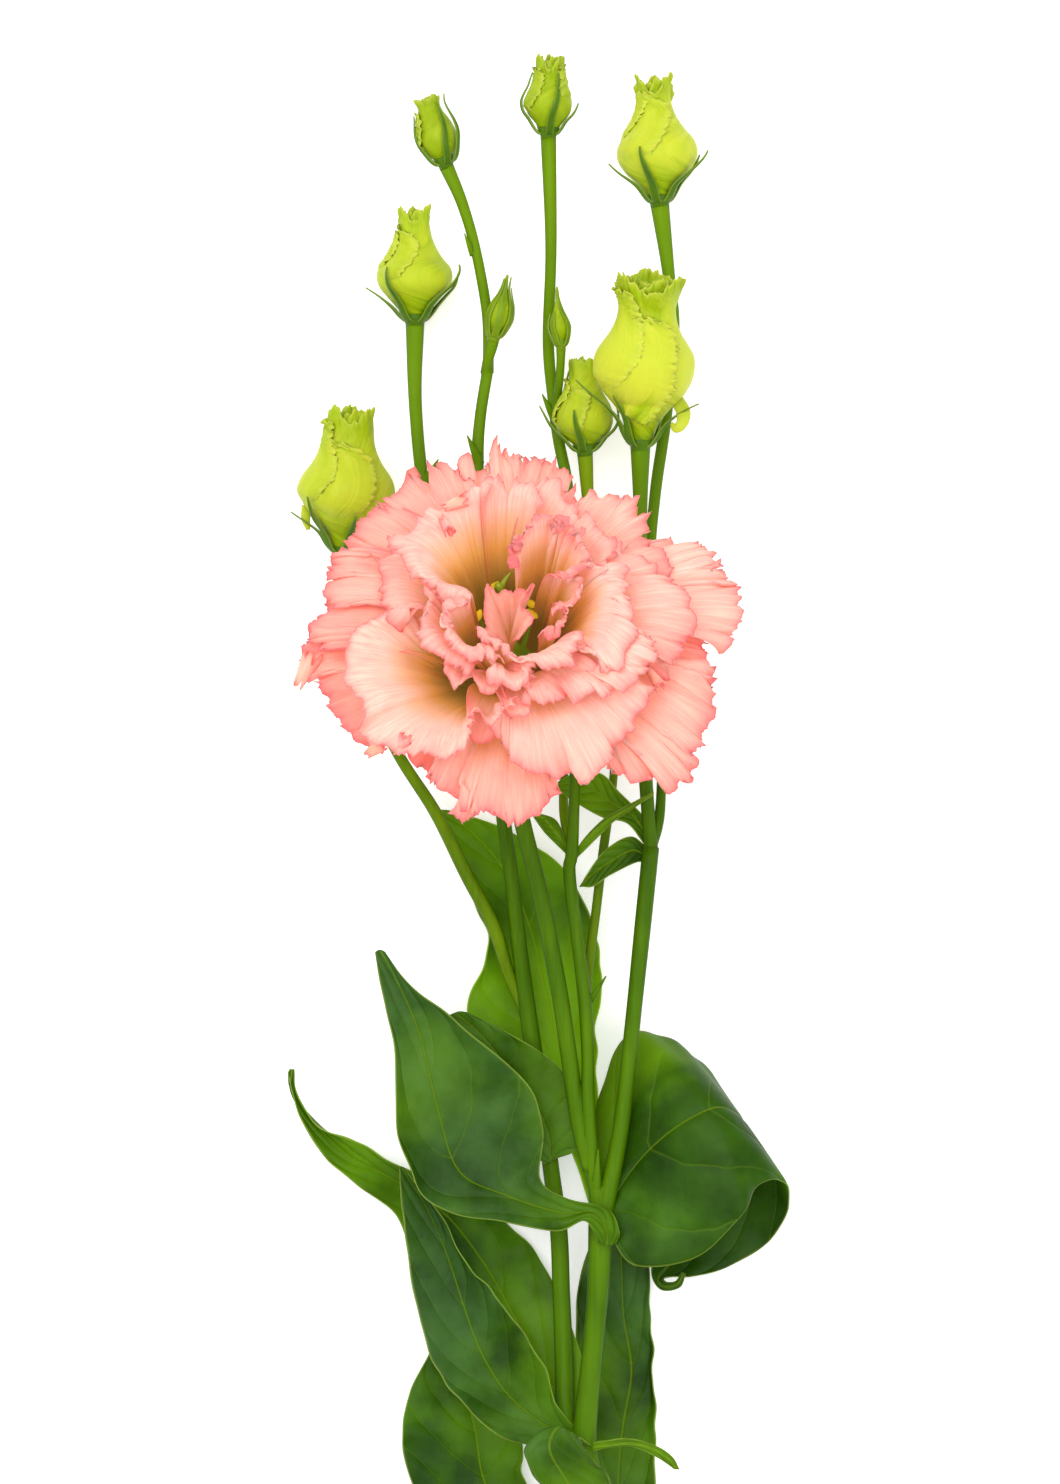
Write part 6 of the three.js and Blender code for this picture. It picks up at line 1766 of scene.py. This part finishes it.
def petal_finish():
    finish = Finish("petal_salmon")
    along, across, rim = finish.mark("along"), finish.mark("across"), finish.mark("rim_mm")
    tone, pink = finish.mark("tone"), finish.mark("pink")
    patches = finish.cloud(finish.spot(across * 0.12, along * 3.0, tone * 5.0), 1.0, 2.0)
    strands = finish.cloud(finish.spot(across * VEINS_PER_MM, along * 1.6, tone * 3.0), 1.0, 1.0)
    veins = (1 - (strands - 0.5).size() * 7.0).clamped()
    stops = [
        (0.0, THROAT_OLIVE),
        (0.15, THROAT_OLIVE),
        (0.32, THROAT_GOLD),
        (0.53, PETAL_CREAM),
        (1.0, PETAL_CREAM),
    ]
    shift = along + (patches - 0.5) * 0.12 + (strands - 0.5) * 0.06
    body = finish.add("ShaderNodeValToRGB", {"stops": stops}, {"Fac": shift}, output="Color")
    # pink petals are salmon all over, the others only towards the margin
    grown = ((along - 0.34) * 4.0).clamped()
    blush = pink ** 0.5 * 0.7 + 0.05 + rim.fading(0.2) * 0.3 + (patches - 0.5) * 0.5
    body = finish.blend(body, PETAL_SALMON, blush.clamped() * grown)
    body = finish.blend(body, PETAL_ROSE, veins * grown * 0.28)
    near_edge = rim.fading(0.6) * (pink * 0.6 + 0.45 + (patches - 0.5) * 1.4)
    body = finish.blend(body, PETAL_ROSE, near_edge.clamped() * grown)
    body = finish.blend(body, PETAL_PINK, (rim.fading(2.2) * 0.7).clamped())
    finish.set(Base_Color=body, Roughness=0.5 + patches * 0.1)
    finish.set(Subsurface_Weight=0.6, Subsurface_Scale=0.0012, Subsurface_Radius=(1, 0.65, 0.5))
    finish.set(Emission_Color=finish.blend(body, PETAL_GLOW, 0.5), Emission_Strength=0.14)
    finish.set(Specular_IOR_Level=0.12)
    finish.bump(strands - veins * 0.4, 0.00015, 0.6)
    return finish.material


petal_salmon = petal_finish()
for made in petals + curls:
    dress(made, petal_salmon, "petal", "flower_petals")
print("petal finish:", petal_salmon.name)

# %% [markdown]
# ## The heart of the flower
#
# Deep in the throat stands a green ovary with a style and a stigma of two lobes, and round it a few
# threads carry yellow pollen heads.  They are small, but the eye looks there first.  All are tubes of
# changing radius, the same tool that made the stem.  Threads and heads have different colours, so they
# are two pieces.

# %% Pistil, stamens and disc
DISC = [(0, -1.2), (4, -1.2), (6, 0.2), (5.4, 1.4), (0, 1.4)]


def stood(x, y, height, radius):
    """A row of a tube at a height up the axis, where the camera sees it at x, y."""
    return (*as_seen(x, y, height), radius)


def flower_tubes(name, rows_of_tubes, sides=12, step=0.4):
    shapes = [tube(rows, sides=sides, step=step) for rows in rows_of_tubes]
    return mesh_object(name, *together([(on_flower(points), faces, {}) for points, faces in shapes]))


# where the pollen heads are seen, with their heights
STAMEN_HEADS = [(-9.8, 24, 19), (-7.0, 29.9, 19), (0.3, 26.2, 19), (0.6, 24.2, 17), (-2.2, 30.4, 18)]

ovary = [(0, 0, 1.2, 1.4), (0, 0, 3.5, 1.9), (0, 0, 6, 2.1), (0, 0.5, 9, 1.6), (-0.4, 2, 12.5, 0.7)]
style = [(-0.3, 1.6, 11.5, 0.7), (-1.2, 4, 17, 0.55), stood(-5.6, 29.0, 20.5, 0.6)]
lobes = [
    [stood(-5.4, 28.8, 20.4, 0.6), stood(-5.9, 29.6, 21.4, 0.8), stood(-6.6, 29.6, 21.6, 0.45)],
    [stood(-5.6, 28.9, 20.4, 0.6), stood(-5.0, 30.4, 21.6, 0.5), stood(-3.7, 32.2, 22.4, 0.2)],
]
pistil = flower_tubes("flower_heart_pistil", [ovary, style, *lobes])
threads, heads = [], []
for x, y, height in STAMEN_HEADS:
    top = as_seen(x, y, height)
    foot = top * [0.45, 0.45, 0]
    threads.append([(*foot, 0.34), (*mix(foot, top, 0.5), 0.3), (*top, 0.28)])
    side = unit(np.array([top[1], -top[0], 0.0]))
    heads.append([(*(top - side * 1.5), 0.3), (*top, 0.75), (*(top + side * 1.1 + [0, 0, 0.5]), 0.25)])
filaments = flower_tubes("flower_heart_filaments", threads, sides=8)
stamens = flower_tubes("flower_heart_stamens", heads, sides=8)
disc_points, disc_faces = turned(DISC, 40)
disc = mesh_object("flower_disc", on_flower(disc_points), disc_faces)
print("stamens:", len(STAMEN_HEADS))

# %% [markdown]
# ## Under the bloom
#
# From the side one sees what a view from above hides: the green cup on the stalk, and five thin sepals
# that bend out under the petals.  The cup is round, so it is turned from a profile.  The sepals follow
# one bent line of changing radius, set round the axis by a loop.

# %% The flower's green cup
CUP = [(0, -6.4), (2.2, -6.3), (2.5, -5.2), (2.6, -4.0), (3.6, -2.8), (4.3, -1.4), (3.9, -1.3), (0, -1.3)]
FLOWER_SEPAL = [(2.5, -2.8, 1.0), (7.4, -0.6, 0.85), (10.5, 5, 0.6), (12, 12, 0.25)]

cup_points, cup_faces = turned(CUP, 32)
cup_shapes = [(on_flower(cup_points), cup_faces, {})]
for k in range(SEPALS):
    turn = (k + 0.3) / SEPALS * 2 * math.pi
    rows = [(r * math.cos(turn), r * math.sin(turn), z, radius) for r, z, radius in FLOWER_SEPAL]
    points, faces = tube(rows, sides=10, step=0.8, flat=0.6)
    cup_shapes.append((on_flower(points), faces, {}))
flower_cup = mesh_object("flower_cup", *together(cup_shapes))
print("flower's sepals:", SEPALS)

# %% Finishes of the heart
def plain_finish(name, light, dark, roughness, glow=0.0):
    finish = Finish(name)
    patches = finish.cloud(finish.place(), 600.0, 3.0)
    finish.set(Base_Color=finish.blend(dark, light, patches), Roughness=roughness + patches * 0.1)
    finish.set(Subsurface_Weight=0.2, Subsurface_Scale=0.001)
    # painted light: a glow above 0 makes the part emit its light colour
    finish.set(Emission_Color=light, Emission_Strength=glow)
    finish.bump(patches, 0.0001, 0.5)
    return finish.material


# pistil and pollen glow with painted light
pistil_green = plain_finish("pistil_green", colour(176, 200, 50), colour(96, 130, 20), 0.35, 0.1)
pollen_yellow = plain_finish("pollen_yellow", colour(246, 214, 40), colour(190, 140, 10), 0.75, 0.3)
dress(pistil, pistil_green, "pistil", "flower_pistil")
dress(filaments, pistil_green, "pistil", "flower_stamens")
dress(stamens, pollen_yellow, "pollen", "flower_stamens")
dress(disc, pistil_green, "pistil", "flower_petals")
dress(flower_cup, sepal_green, "sepal", "flower_calyx")
print("heart finishes:", pistil_green.name, pollen_yellow.name)
